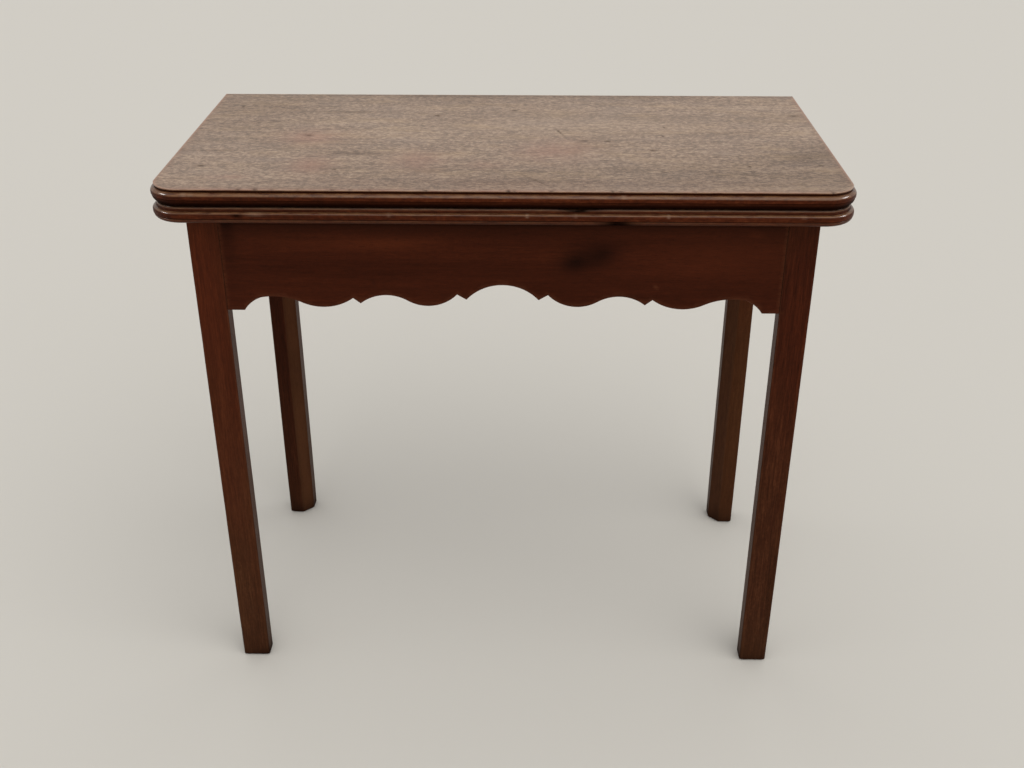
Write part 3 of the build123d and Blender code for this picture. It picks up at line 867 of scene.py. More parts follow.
offset = add(
    moulding_tree, "ShaderNodeVectorMath", {"operation": "SCALE"},
    {0: add(moulding_tree, "GeometryNodeInputNormal").outputs[0], "Scale": inward},
)
uneven = add(
    moulding_tree, "GeometryNodeSetPosition", None,
    {"Geometry": swept.outputs[0], "Offset": offset.outputs[0]},
)
end_tree(moulding_tree, uneven.outputs[0], given["Finish"])

# %% [markdown]
# ## From the moulding to a whole board
#
# The swept strip is open above, below and behind. A constrained triangulation closes
# each opening: it keeps the rim as it is and puts a fine grid of points inside, so that
# the top has enough points to be dented and marked. Two plain faces would close it too,
# but then only the colour could change across the top, and never the shape.

# %% Filling a flat opening
no_length = 1e-7
clear_share = 0.6


def fill_opening(shape, rim, across, along, step):
    """Closes a flat loop of vertices with triangles over a grid of new vertices, and returns those."""
    flat = [(vert.co[across], vert.co[along]) for vert in rim]
    lows = np.min(flat, axis=0)
    highs = np.max(flat, axis=0)
    counts = np.maximum(1, np.floor((highs - lows) / step)).astype(int)
    grids = [np.linspace(low, high, count + 2)[1:-1] for low, high, count in zip(lows, highs, counts)]
    grid = np.stack(np.meshgrid(*grids, indexing="ij"), -1).reshape(-1, 2)
    nearest = np.full(len(grid), np.inf)
    for point in flat:
        nearest = np.minimum(nearest, np.hypot(grid[:, 0] - point[0], grid[:, 1] - point[1]))
    grid = grid[nearest > clear_share * step]
    points = [Vector(point) for point in flat] + [Vector(point) for point in grid]
    made = delaunay_2d_cdt(points, [], [list(range(len(flat)))], 1, no_length)
    places, _, faces, origins = made[:4]
    level = rim[0].co[3 - across - along]
    vertices = {}
    added = []
    for face in faces:
        for index in face:
            if index in vertices:
                continue
            source = min(origins[index]) if origins[index] else len(flat)
            if source < len(flat):
                vertices[index] = rim[source]
                continue
            spot = [level] * 3
            spot[across], spot[along] = places[index]
            vertices[index] = shape.verts.new(spot)
            added.append(vertices[index])
        shape.faces.new([vertices[index] for index in face])
    return added


def row_between(shape, start, end, step):
    """New vertices in a straight row between two others."""
    count = max(1, round((end.co - start.co).length / step))
    return [shape.verts.new(start.co.lerp(end.co, n / count)) for n in range(1, count)]


# %% [markdown]
# ## Old marks
#
# A top this old is a map of what has stood on it: dents, stains, scuffs and places where
# the red of the wood still shows. They could be left to noise, but then the top would be
# any old top. So the ones that can be told apart are listed one by one, in metres from the
# middle of the table, and each is a soft oval that presses the points near it down, or
# only changes their colour. Nicks and dirt along the front moulding are such marks too.
# Some wide ovals among the stains are painted shade over large parts of the top, and one wide scuff is a
# painted highlight in its middle.

# %% How a mark is made
# A row holds x, y, half length, half width, turn in degrees, depth and strength.
mark_softness = 1.5
least_felt = 0.02


def strength_of(spots, mark):
    """How strongly one mark is felt at each of many x and y spots."""
    x, y, half_length, half_width, turn = mark[:5]
    aside = spots[:, 0] - x
    ahead = spots[:, 1] - y
    cosine, sine = math.cos(math.radians(turn)), math.sin(math.radians(turn))
    share_along = (aside * cosine + ahead * sine) / half_length
    share_across = (ahead * cosine - aside * sine) / half_width
    return np.exp(-mark_softness * (share_along ** 2 + share_across ** 2))


def mark_vertices(vertices, layer, rows, ahead=1, deep=2, way=-1, ignored=least_felt):
    """Presses marks into vertices along the deep axis, and writes their strength in a layer."""
    spots = np.array([(vert.co.x, vert.co[ahead]) for vert in vertices])
    for row in rows:
        depth, strength = row[5:]
        felt = strength_of(spots, row)
        for index in np.nonzero(felt > ignored)[0]:
            vert = vertices[index]
            vert.co[deep] += way * depth * felt[index]
            vert[layer] = min(1.0, vert[layer] + strength * felt[index])


def only_colour(rows):
    """Rows written without a depth, with a depth of nothing put in."""
    return [(*row[:5], 0.0, row[5]) for row in rows]


# %% Marks on the top
dents = [
    (-0.096, 0.095, 0.0055, 0.0048, -12, 0.0006, 0.75),
    (-0.375, 0.135, 0.0030, 0.0060, 0, 0.0004, 0.5),
    (-0.259, -0.001, 0.0062, 0.0056, -25, 0.0004, 0.6),
    (-0.372, -0.129, 0.0065, 0.0030, 4, 0.0003, 0.9),
    (-0.205, -0.141, 0.0025, 0.0020, 0, 0.0004, 0.7),
    (-0.372, -0.068, 0.0360, 0.0014, 0, 0.0002, 0.35),
    (0.072, 0.018, 0.0200, 0.0016, -72, 0.0004, 0.7),
    (0.035, -0.172, 0.0330, 0.0014, -52, 0.0002, 0.4),
    (0.104, -0.019, 0.0080, 0.0034, 3, 0.0003, 0.5),
    (0.134, -0.021, 0.0065, 0.0030, 0, 0.0002, 0.8),
    (0.124, -0.100, 0.0070, 0.0018, -20, 0.0003, 0.6),
    (0.189, -0.059, 0.0046, 0.0040, 0, 0.0006, 0.7),
    (0.207, 0.003, 0.0022, 0.0030, 30, 0.0004, 0.8),
    (0.213, 0.043, 0.0020, 0.0045, 0, 0.0003, 0.8),
    (0.276, 0.105, 0.0070, 0.0032, 0, 0.0002, 0.5),
    (0.196, -0.144, 0.0040, 0.0026, 0, 0.0004, 0.4),
    (0.256, -0.147, 0.0020, 0.0020, 0, 0.0003, 0.6),
    (0.302, -0.121, 0.0030, 0.0026, 20, 0.0004, 0.7),
    (0.390, -0.117, 0.0028, 0.0024, 0, 0.0005, 0.9),
    (0.266, -0.084, 0.0060, 0.0020, 0, 0.0003, 0.35),
    (0.010, 0.122, 0.0055, 0.0048, 0, 0.0002, 0.55),
    (0.397, 0.100, 0.0110, 0.0045, 8, 0.0002, 0.55),
]
stains_and_shade = only_colour([
    (-0.190, -0.077, 0.055, 0.012, 0, 0.30), (-0.215, 0.111, 0.036, 0.006, 0, 0.25),
    (0.377, -0.085, 0.050, 0.022, 0, 0.18), (0.385, -0.055, 0.060, 0.045, 0, 0.18),
    (-0.330, 0.060, 0.060, 0.010, 4, 0.10), (0.120, -0.045, 0.050, 0.006, 6, 0.14),
    # The broad ovals at the front, the front right and the left are painted shade.
    (0.300, 0.020, 0.070, 0.010, 0, 0.10), (0.350, -0.150, 0.180, 0.090, 0, 0.17),
    (0.080, -0.165, 0.460, 0.085, 0, 0.16), (0.000, -0.190, 0.480, 0.020, 0, 0.10),
    (-0.350, 0.140, 0.150, 0.080, 0, 0.15), (-0.060, 0.180, 0.120, 0.050, 0, 0.12),
    (0.000, 0.205, 0.480, 0.028, 0, 0.17), (0.000, 0.203, 0.480, 0.006, 0, 0.22),
    (-0.370, 0.050, 0.120, 0.100, 0, 0.08),
])
warm_patches = only_colour([
    (-0.110, -0.108, 0.040, 0.046, 0, 0.55), (-0.255, -0.008, 0.044, 0.036, 0, 0.55),
    (-0.238, -0.124, 0.032, 0.038, 0, 0.50), (-0.330, -0.172, 0.030, 0.010, 0, 0.60),
    (0.066, -0.062, 0.052, 0.050, 0, 0.70), (-0.020, -0.120, 0.030, 0.020, 0, 0.30),
    (0.000, -0.190, 0.420, 0.022, 0, 0.16),
])
scuffs_and_highlight = only_colour([
    # The first, wide row is a painted highlight in the middle of the top; the rest are scuffs.
    (0.120, 0.055, 0.190, 0.060, 0, 0.30), (-0.300, 0.092, 0.010, 0.004, -10, 0.80),
    (-0.353, 0.129, 0.014, 0.005, -15, 0.50), (-0.315, 0.055, 0.010, 0.004, 10, 0.50),
    (-0.238, 0.010, 0.020, 0.004, 24, 0.60), (-0.007, 0.048, 0.012, 0.0016, 40, 1.00),
    (-0.014, 0.040, 0.009, 0.0016, 40, 0.80), (-0.259, 0.095, 0.016, 0.004, 10, 0.60),
    (-0.312, -0.180, 0.040, 0.003, 0, 0.60), (0.402, 0.030, 0.004, 0.030, -12, 0.70),
    (-0.104, 0.098, 0.010, 0.0012, -12, 0.70),
])
print("on the top", len(dents), "dents,", len(stains_and_shade + warm_patches + scuffs_and_highlight), "patches")

# %% Marks along the front edge
# Where each chip of the rim is along the edge, and how large, as a share of the largest.
rim_chip_shares = (
    (-0.307, 0.8), (-0.287, 1.0), (-0.267, 0.6), (-0.237, 0.5), (-0.197, 0.7), (-0.176, 0.7),
    (-0.154, 0.6), (-0.088, 0.9), (-0.055, 0.6), (0.008, 1.0), (0.015, 0.7), (0.058, 0.8),
    (0.129, 0.8), (0.139, 0.7), (0.197, 0.4), (0.225, 0.5), (0.384, 0.8),
)
rim_line = -0.2160
chip_half_length = 0.0028
chip_half_width = 0.0048
chip_depth = 0.0006
rim_chips = [
    (x, rim_line, chip_half_length, chip_half_width * share, 0, chip_depth, share)
    for x, share in rim_chip_shares
]
moulding_line = -0.218
moulding_half = 0.020


def along_edge(rows, depth=0.0):
    """Marks on the front moulding, from their x, half length and strength."""
    return [(x, moulding_line, half, moulding_half, 0, depth, strength) for x, half, strength in rows]


# Each entry is a layer, from which drop to which below the leaf's top, and the marks.
upper_edge_marks = [("faded", (0.0042, 0.0078), along_edge([
    (0.1425, 0.0016, 0.6), (-0.371, 0.0040, 0.25), (-0.362, 0.0018, 0.3), (-0.017, 0.0100, 0.06),
]))]
lower_edge_marks = [
    ("faded", (0.0066, 0.0105), along_edge([
        (0.030, 0.0016, 0.28), (0.086, 0.0016, 0.25), (0.195, 0.0016, 0.22),
        (0.353, 0.0016, 0.3), (-0.131, 0.0016, 0.3), (-0.289, 0.0120, 0.14),
    ])),
    ("dirt_and_shade", (0.0000, 0.0045), along_edge([(0.090, 0.019, 1.0)], depth=0.0010)),
    ("dirt_and_shade", (0.0085, 0.0130), along_edge([(-0.311, 0.007, 0.9), (-0.055, 0.004, 0.3)])),
    ("dirt_and_shade", (0.0150, 0.0207), along_edge([(0.136, 0.026, 1.0)])),
]
print("along the edge", len(rim_chips), "chips")

# %% [markdown]
# ## One leaf
#
# A leaf is a thin board, planed by hand, moulded on three edges and square at the back,
# where the hinges sit. The strip of moulding comes first and the rest fills it in, so
# that no seam shows where the flat meets the edge. Both leaves come from one function, as
# they differ only in their section, their fading and their marks.

# %% A moulded board
leaf_low, leaf_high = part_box("upper_leaf")
leaf_meeting = leaf_low.z
leaf_thickness = leaf_high.z - leaf_low.z
half_top = leaf_high.x
front_edge = leaf_low.y
back_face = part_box("rear_right_leg")[1].y
corner_radius = 0.040
board_step = 0.003
coarse_step = 4 * board_step
wear_depth = 0.00030
wear_waves = 55.0


def swept_moulding(section, top, seed):
    """The moulding of one leaf: an open strip, and its vertices ring by ring."""
    turned = [(-half_top, back_face), (-half_top, front_edge), (half_top, front_edge), (half_top, back_face)]
    path_line = line_object("leaf_path", [(x, y, top) for x, y in turned])
    strip = grow(path_line, moulding_tree, {
        "Section": section, "Corner radius": corner_radius, "Step": board_step,
        "Wear depth": wear_depth, "Wear waves": wear_waves, "Seed": seed, "Finish": board_wood,
    })
    shape = bmesh.new()
    shape.from_mesh(strip)
    count = len(section.data.vertices)
    verts = list(shape.verts)
    rings = [verts[start:start + count] for start in range(0, len(verts), count)]
    for vert in rings[0] + rings[-1]:
        vert.co.y = back_face
    for ring in rings:
        ring[0].co.z = top
        ring[-1].co.z = top - leaf_thickness
    return shape, rings


def close_board(shape, rings, grid_step):
    """Closes the strip, and returns the new vertices of the face, the underside and the back's edges."""
    upper = [ring[0] for ring in rings]
    lower = [ring[-1] for ring in rings]
    back_upper = row_between(shape, upper[-1], upper[0], grid_step)
    back_lower = row_between(shape, lower[-1], lower[0], grid_step)
    flat = fill_opening(shape, upper + back_upper, 0, 1, grid_step)
    under = fill_opening(shape, lower + back_lower, 0, 1, coarse_step)
    back = rings[0] + back_lower[::-1] + rings[-1][::-1] + back_upper
    fill_opening(shape, back, 0, 2, coarse_step)
    return flat, under, back_upper, back_lower


print("leaves", round(2 * half_top, 4), "m long and", round(leaf_thickness, 4), "m thick")

# %% The board's age
inside_fading = 0.12
back_rubbing = 0.5
swell_depth = 0.00016
swell_waves = (7, 13)
warm_rim = 0.004
warm_sides = 0.4
unfaded_rim = 0.25
moulding_width = 0.010


def age_face(flat, layers, rim_in, face_fading, seed):
    """Fades a leaf's face but for a warm rim, and gives it the slow swell of a planed board."""
    for vert in flat:
        to_front = max(0.0, vert.co.y - front_edge - rim_in)
        to_side = max(0.0, half_top - abs(vert.co.x) - rim_in)
        near_rim = max(math.exp(-to_front / warm_rim), warm_sides * math.exp(-to_side / warm_rim))
        vert[layers["warm"]] = near_rim
        vert[layers["faded"]] = face_fading * (1 - unfaded_rim * near_rim)
        swell = noise(Vector((vert.co.x * swell_waves[0], vert.co.y * swell_waves[1], seed)))
        vert.co.z -= swell_depth * (1 + swell)


def moulded_board(section, top, face_fading, seed, grid_step, edge_marks, marks_on_top=False):
    """A closed mesh of one leaf, with its age and its marks."""
    shape, rings = swept_moulding(section, top, seed)
    layers = {title: shape.verts.layers.float.get(title) for title in ("dirt_and_shade", "rubbed_and_highlit", "faded", "warm")}
    flat, under, back_upper, back_lower = close_board(shape, rings, grid_step)
    for vert in [ring[0] for ring in rings] + back_upper:
        vert[layers["faded"]] = face_fading
    for vert in under + back_lower:
        vert[layers["faded"]] = inside_fading
    for vert in back_upper:
        vert[layers["rubbed_and_highlit"]] = back_rubbing
    age_face(flat, layers, -section.data.vertices[0].co.x, face_fading, seed)
    front = [vert for ring in rings for vert in ring if vert.co.y < front_edge + moulding_width]
    for title, (first, last), rows in edge_marks:
        chosen = [vert for vert in front if first <= top - vert.co.z <= last]
        mark_vertices(chosen, layers[title], rows)
    if marks_on_top:
        rim = [vert for ring in rings for vert in ring[:3]]
        mark_vertices(flat, layers["dirt_and_shade"], dents + stains_and_shade)
        mark_vertices(flat + rim, layers["dirt_and_shade"], rim_chips)
        mark_vertices(flat, layers["warm"], warm_patches)
        mark_vertices(flat, layers["rubbed_and_highlit"], scuffs_and_highlight)
    for face in shape.faces:
        face.material_index = 0
    return shape


# %% [markdown]
# ## Both leaves
#
# The leaves turn on brass hinges whose plates are let into the ends of their back edges,
# and a small piece has broken off the upper leaf at the right one, as happens where a
# hinge pulls at short grain. The recesses take their size from the hinge plates of the
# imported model, so the plates fill them. The underside of the lower leaf was never
# polished, so its faces get a finish of their own.

# %% Recesses for the hinges, and the broken corner
notch_gap = 0.0001
overrun = 0.003
broken_corner = [(0.4138, 0.2036), (0.4198, 0.1915), (0.4230, 0.2070)]


def hinge_notches(which):
    """The waste of both hinge recesses in one leaf, from the hinge plates' own places."""
    waste = bmesh.new()
    for side, name in ((-1, "left"), (1, "right")):
        low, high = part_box(f"{name}_hinge_{which}_plate")
        inner = min(abs(low.x), abs(high.x)) - notch_gap
        x_low, x_high = sorted((side * inner, side * (half_top + overrun)))
        outline = rectangle(x_low, x_high, low.y - notch_gap, back_face + overrun)
        if which == "upper":
            prism(waste, outline, leaf_meeting - overrun, high.z + notch_gap)
        else:
            prism(waste, outline, low.z - notch_gap, leaf_meeting + overrun)
    return waste


# %% The upper leaf
top_fading = 1.0
upper_seed = 5.0
top_step = 0.0028
upper_shape = moulded_board(
    upper_line, leaf_high.z, top_fading, upper_seed, top_step, upper_edge_marks, marks_on_top=True
)
upper_mesh = cut(to_mesh(upper_shape, "worn_upper_leaf"), hinge_notches("upper"))
splinter = bmesh.new()
prism(splinter, broken_corner, leaf_meeting - overrun, leaf_high.z + overrun)
upper_mesh = cut(upper_mesh, splinter)
complete(upper_mesh, "upper_leaf", "leaf", [board_wood])

# %% The lower leaf
lower_seed = 9.0
hidden_step = 0.006
same_place = 1e-6
lower_shape = moulded_board(
    lower_line, leaf_meeting, inside_fading, lower_seed, hidden_step, lower_edge_marks
)
underside = leaf_meeting - leaf_thickness + same_place
for face in lower_shape.faces:
    if all(vert.co.z < underside for vert in face.verts):
        face.material_index = 1
lower_mesh = cut(to_mesh(lower_shape, "worn_lower_leaf"), hinge_notches("lower"))
complete(lower_mesh, "lower_leaf", "frame", [board_wood, bare_wood])
for line in (upper_line, lower_line):
    bpy.data.objects.remove(line)

# %% [markdown]
# ## The scalloped apron
#
# The front rail was sawn to a pattern: a round arch in the middle, then waves and small
# points out to the legs, the same on both sides. The outline could be traced point by
# point, but arcs stay smooth and say what the maker drew, so it holds only the places
# where they meet, as shares of the half length and of the depth. The front arris is
# rounded by two extra rings of points, and the face gets a slow swell like a board that
# was planed by hand.

# %% Outline of the apron
apron_low, apron_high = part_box("front_apron")
leg_low, leg_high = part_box("front_left_leg")
apron_half = -leg_high.x
apron_depth = apron_high.z - apron_low.z
apron_crown_share = 0.717
apron_arch_end_shares = (0.130, 0.874)
apron_cusp_shares = (0.164, 0.820)
apron_wave_shares = [
    ((0.254, 0.941), (0.343, 0.889)),
    ((0.429, 0.832), (0.514, 0.921)),
    (None, (0.541, 0.865)),
    ((0.636, 0.960), (0.7305, 0.9105)),
    ((0.8035, 0.856), (0.8765, 0.865)),
    ((0.907, 0.909), (0.938, 1.0)),
]
outline_step = 0.0022
least_arc_steps = 3


def apron_point(shares, side=1):
    """A place on the apron's lower edge, from its shares."""
    return (side * shares[0] * apron_half, apron_high.z - shares[1] * apron_depth)


def straight(start, end, step):
    """Places from start up to but without end."""
    count = max(1, round(math.dist(start, end) / step))
    return [tuple(a + (b - a) * n / count for a, b in zip(start, end)) for n in range(count)]


def arc_through(start, middle, end, step):
    """Places on the arc through three points, from start up to but without end."""
    (ax, az), (bx, bz), (cx, cz) = start, middle, end
    twice = 2 * (ax * (bz - cz) + bx * (cz - az) + cx * (az - bz))
    squares = [x * x + z * z for x, z in (start, middle, end)]
    centre_x = (squares[0] * (bz - cz) + squares[1] * (cz - az) + squares[2] * (az - bz)) / twice
    centre_z = (squares[0] * (cx - bx) + squares[1] * (ax - cx) + squares[2] * (bx - ax)) / twice
    radius = math.dist(start, (centre_x, centre_z))
    turn_start = math.atan2(az - centre_z, ax - centre_x)
    turn_middle = (math.atan2(bz - centre_z, bx - centre_x) - turn_start) % math.tau
    turn_end = (math.atan2(cz - centre_z, cx - centre_x) - turn_start) % math.tau
    if turn_middle > turn_end:
        turn_end -= math.tau
    count = max(least_arc_steps, round(abs(turn_end) * radius / step))
    turns = [turn_start + turn_end * n / count for n in range(count)]
    return [(centre_x + radius * math.cos(t), centre_z + radius * math.sin(t)) for t in turns]


def half_outline():
    """The lower edge from the crown of the middle arch out to the right leg."""
    crown = (0.0, apron_high.z - apron_crown_share * apron_depth)
    here = apron_point(apron_arch_end_shares)
    places = arc_through(apron_point(apron_arch_end_shares, -1), crown, here, outline_step)
    places = [place for place in places if place[0] > outline_step / 2]
    there = apron_point(apron_cusp_shares)
    places = [crown] + places + straight(here, there, outline_step)
    here = there
    for through, end in apron_wave_shares:
        there = apron_point(end)
        if through is None:
            places += straight(here, there, outline_step)
        else:
            places += arc_through(here, apron_point(through), there, outline_step)
        here = there
    foot = (apron_half, apron_low.z)
    return places + straight(here, foot, outline_step) + [foot]


right_half = half_outline()
left_half = [(-x, z) for x, z in right_half[1:]][::-1]
lower_edge = left_half + right_half
top_left, top_right = (-apron_half, apron_high.z), (apron_half, apron_high.z)
side_step = 0.006
apron_outline = (
    lower_edge[:-1] + straight(lower_edge[-1], top_right, side_step)
    + straight(top_right, top_left, side_step) + straight(top_left, lower_edge[0], side_step)
)
print("apron outline of", len(apron_outline), "points,", round(2 * apron_half, 4), "m long")

# %% The apron's board
apron_front = apron_low.y
apron_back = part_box("glue_blocks")[0].y
arris = 0.0009
arris_bow = 0.3
least_bisector = 0.5
inset_at_leg = 0.15
apron_step = 0.005


def inset_ring(outline, amount):
    """The outline moved inwards by an amount, and by less where it meets the legs."""
    points = np.array(outline)
    before = points - np.roll(points, 1, axis=0)
    after = np.roll(points, -1, axis=0) - points
    before /= np.linalg.norm(before, axis=1)[:, None]
    after /= np.linalg.norm(after, axis=1)[:, None]
    normals = [np.stack((-run[:, 1], run[:, 0]), 1) for run in (before, after)]
    bisector = normals[0] + normals[1]
    bisector /= np.maximum(least_bisector, np.sum(bisector ** 2, axis=1))[:, None] / 2
    ring = points + amount * bisector
    at_leg = np.abs(points[:, 0]) > apron_half - same_place
    ring[at_leg, 0] = np.sign(points[at_leg, 0]) * (apron_half - inset_at_leg * amount)
    return ring


def join_rings(shape, near, far):
    """A band of faces from one ring of vertices to the next."""
    for here in range(len(near)):
        there = (here + 1) % len(near)
        shape.faces.new((near[here], near[there], far[there], far[here]))


print("apron board", round(apron_back - apron_front, 4), "m thick")

# %% The apron's age
arris_rubbing = 0.35
apron_swell = 0.00025
apron_swell_waves = (5, 14)
end_grime, end_reach = 0.2, 0.002
# A painted shadow of the overhanging top darkens the apron's upper edge.
top_shadow_paint, top_shadow_reach = 0.75, 0.004
shadowed = 0.011
# Rows as for the marks of the top, but with a height instead of y.
old_smudge = only_colour([
    (0.104, 0.6310, 0.0420, 0.0230, 14, 0.64), (0.086, 0.6250, 0.0180, 0.0160, 8, 0.35),
    (0.126, 0.6380, 0.0220, 0.0150, 8, 0.35), (0.000, 0.6450, 0.1000, 0.0600, 0, 0.10),
    (-0.334, 0.6700, 0.0120, 0.0700, 0, 0.45),
])
warm_bands = only_colour([
    (-0.200, 0.6500, 0.1200, 0.0090, 0, 0.7), (-0.130, 0.6480, 0.0500, 0.0070, 3, 0.6),
    (0.260, 0.6300, 0.1000, 0.0300, 0, 0.45), (0.307, 0.6630, 0.0110, 0.0030, 0, 1.0),
])
apron_knocks = [
    (-0.158, 0.600, 0.0030, 0.0030, 0, 0.0004, 0.8), (0.008, 0.613, 0.0012, 0.0060, 0, 0.0002, 0.4),
    (-0.240, 0.655, 0.0600, 0.0040, 0, 0.0001, 0.3), (0.240, 0.625, 0.0300, 0.0020, -4, 0.0001, 0.4),
]
apron_rubs = only_colour([(-0.024, 0.596, 0.0016, 0.0016, 0, 1.0), (0.190, 0.594, 0.0016, 0.0016, 0, 0.8)])


def age_apron(face, layers):
    """Marks the apron's face, swells it a little, darkens its ends and paints the shadow of the top along its
    upper edge.
    """
    for title, rows in (("dirt_and_shade", old_smudge + apron_knocks), ("rubbed_and_highlit", apron_rubs), ("warm", warm_bands)):
        mark_vertices(face, layers[title], rows, ahead=2, deep=1, way=1, ignored=0.0)
    for vert in face:
        swell = noise(Vector((vert.co.x * apron_swell_waves[0], 0, vert.co.z * apron_swell_waves[1])))
        vert.co.y += apron_swell * (1 + swell)
        at_ends = math.exp(-(apron_half - abs(vert.co.x)) / end_reach)
        # Painted shadow of the top: full within a band at the apron's top, fading below it.
        shadow_under_top = math.exp(-max(0.0, apron_high.z - vert.co.z - shadowed) / top_shadow_reach)
        grime_and_shade = end_grime * at_ends + top_shadow_paint * shadow_under_top
        vert[layers["dirt_and_shade"]] = min(1.0, vert[layers["dirt_and_shade"]] + grime_and_shade)


def apron_board():
    """The sawn board, closed, with a rounded front arris."""
    shape = bmesh.new()
    layers = {title: shape.verts.layers.float.new(title) for title in ("dirt_and_shade", "rubbed_and_highlit", "warm")}
    rings = []
    for depth, amount in ((0, arris), (arris_bow * arris, arris_bow * arris), (arris, 0)):
        ring = inset_ring(apron_outline, amount)
        rings.append([shape.verts.new((x, apron_front + depth, z)) for x, z in ring])
    rings.append([shape.verts.new((x, apron_back, z)) for x, z in apron_outline])
    for near, far in zip(rings, rings[1:]):
        join_rings(shape, near, far)
    face = fill_opening(shape, rings[0], 0, 2, apron_step)
    fill_opening(shape, rings[-1], 0, 2, coarse_step)
    age_apron(face, layers)
    for ring in rings[:3]:
        for vert in ring:
            vert[layers["rubbed_and_highlit"]] = arris_rubbing
    return to_mesh(shape, "worn_front_apron")


# %% [markdown]
# ## Tenons and screw pockets
#
# The apron's ends are tenons that sit in the legs, and pockets gouged into its back let
# screws reach up into the top. Each pocket stands under its screw. The screws' places
# could be typed in, but then they would stay behind if the model changed, so they are
# read from it: the node with all the screws is taken apart into its separate solids.

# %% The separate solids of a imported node
def loose_solids(node):
    """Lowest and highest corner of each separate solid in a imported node."""
    shape = bmesh.new()
    shape.from_mesh(frame["nodes"][node].data)
    bmesh.ops.remove_doubles(shape, verts=shape.verts, dist=same_place)
    found = []
    left = set(shape.verts)
    while left:
        group = {left.pop()}
        queue = list(group)
        while queue:
            for edge in queue.pop().link_edges:
                for vert in edge.verts:
                    if vert in left:
                        left.remove(vert)
                        group.add(vert)
                        queue.append(vert)
        places = np.array([vert.co for vert in group])
        found.append((Vector(places.min(0)), Vector(places.max(0))))
    shape.free()
    return sorted(found, key=lambda corners: tuple(corners[0]))


fixing_screws = loose_solids("top_fixing_screws")
print("top fixing screws", len(fixing_screws))

# %% Tenons and screw pockets
pocket_radius = 0.0065
pocket_height = 0.040
pocket_steps = 12
tenon_half = 0.004
tenon_shoulder = 0.012
bite = 0.002


def pocket_outline(x, y, opening_y):
    """A half round pocket, open towards opening_y."""
    way = math.copysign(1, opening_y - y)
    turns = [math.pi * n / pocket_steps for n in range(pocket_steps + 1)]
    round_part = [(x + pocket_radius * math.cos(t), y - way * pocket_radius * math.sin(t)) for t in turns]
    outside = opening_y + way * overrun
    return round_part + [(x - pocket_radius, outside), (x + pocket_radius, outside)]


tenons = bmesh.new()
middle = (apron_front + apron_back) / 2
for side in (-1, 1):
    x_low, x_high = sorted((side * (apron_half - bite), side * apron_high.x))
    outline = rectangle(x_low, x_high, middle - tenon_half, middle + tenon_half)
    prism(tenons, outline, apron_low.z + tenon_shoulder, apron_high.z - tenon_shoulder)
pockets = bmesh.new()
for low, high in fixing_screws:
    centre = (low + high) / 2
    if centre.y < apron_back:
        outline = pocket_outline(centre.x, centre.y, apron_back)
        prism(pockets, outline, low.z - pocket_height, low.z)
apron_mesh = cut(cut(apron_board(), tenons, "UNION"), pockets)
complete(apron_mesh, "front_apron", "frame", [apron_wood])

# %% [markdown]
# ## The legs
#
# Each leg is a square post with small rounded arrises and a wide chamfer on the inner
# corner that stops where the rails begin. A box with a Bevel modifier would have the
# same arris from top to bottom. A stack of rings, one every few millimetres, gives the
# chamfer and its stop, and lets the arrises wear: noise widens the rounding here and
# there, and most of all near the foot, where brooms and shoes have been.

# %% Rings of a square leg
leg_half = (leg_high.x - leg_low.x) / 2
leg_chamfer = 0.016
leg_round = 0.0012
crisp_round = 0.00035
arris_wander = 0.8
arris_waves = 22
corner_apart = 3.7
foot_wear = 0.0022
foot_reach = 0.05
foot_bevel = 0.0025
ring_step = 0.005
corner_points = 5
side_shares = (0.035, 0.20, 0.35, 0.50, 0.65, 0.80, 0.965)
corner_rubbing = 0.4
rail_corner_dirt = 0.25
unmarked = (0.0, 0.0, 0.0)


def near_floor(level, reach):
    """1 at the floor, and less the higher up."""
    return math.exp(-level / reach)


def corner_run(corner, softness, chamfer):
    """Points round one corner, from the side before it to the side after it, anticlockwise."""
    x, y = corner
    before = (0, -y) if x * y > 0 else (-x, 0)
    after = (-x, 0) if x * y > 0 else (0, -y)
    points = []
    for n in range(corner_points):
        share = n / (corner_points - 1)
        if chamfer == "cut":
            start, end = (leg_chamfer * (1 - share), leg_chamfer * share)
        elif chamfer == "whole":
            start, end = (leg_chamfer * max(0.0, 1 - 2 * share), leg_chamfer * max(0.0, 2 * share - 1))
        else:
            turn = share * math.pi / 2
            start, end = (softness * (1 - math.sin(turn)), softness * (1 - math.cos(turn)))
        points.append((
            x * leg_half + before[0] * start + after[0] * end,
            y * leg_half + before[1] * start + after[1] * end,
        ))
    return points


def leg_ring(inward, level, seed, chamfer, inset):
    """The outline of a leg at one height, and how rubbed, dirty and chamfered each point is."""
    corners = []
    outward = (-inward[0], -inward[1])
    for number, corner in enumerate(((-1, -1), (1, -1), (1, 1), (-1, 1))):
        wander = noise(Vector((level * arris_waves, number * corner_apart, seed)))
        softness = leg_round * (1 + arris_wander * max(0.0, wander))
        softness += foot_wear * near_floor(level, foot_reach)
        inner = corner == inward
        beside_rail = chamfer == "whole" and corner != outward
        if beside_rail:
            softness = crisp_round
        rubbing = 0.0 if beside_rail else corner_rubbing
        marks = (rubbing, rail_corner_dirt * beside_rail, float(inner and chamfer == "cut"))
        corners.append((corner_run(corner, softness, chamfer if inner else None), marks))
    ring = []
    for number, (run, marks) in enumerate(corners):
        ring += [(place, marks) for place in run]
        start, end = run[-1], corners[(number + 1) % len(corners)][0][0]
        for share in side_shares:
            ring.append((tuple(a + (b - a) * share for a, b in zip(start, end)), unmarked))
    scale = (leg_half - inset) / leg_half
    return [(x * scale, y * scale, marks) for (x, y), marks in ring]


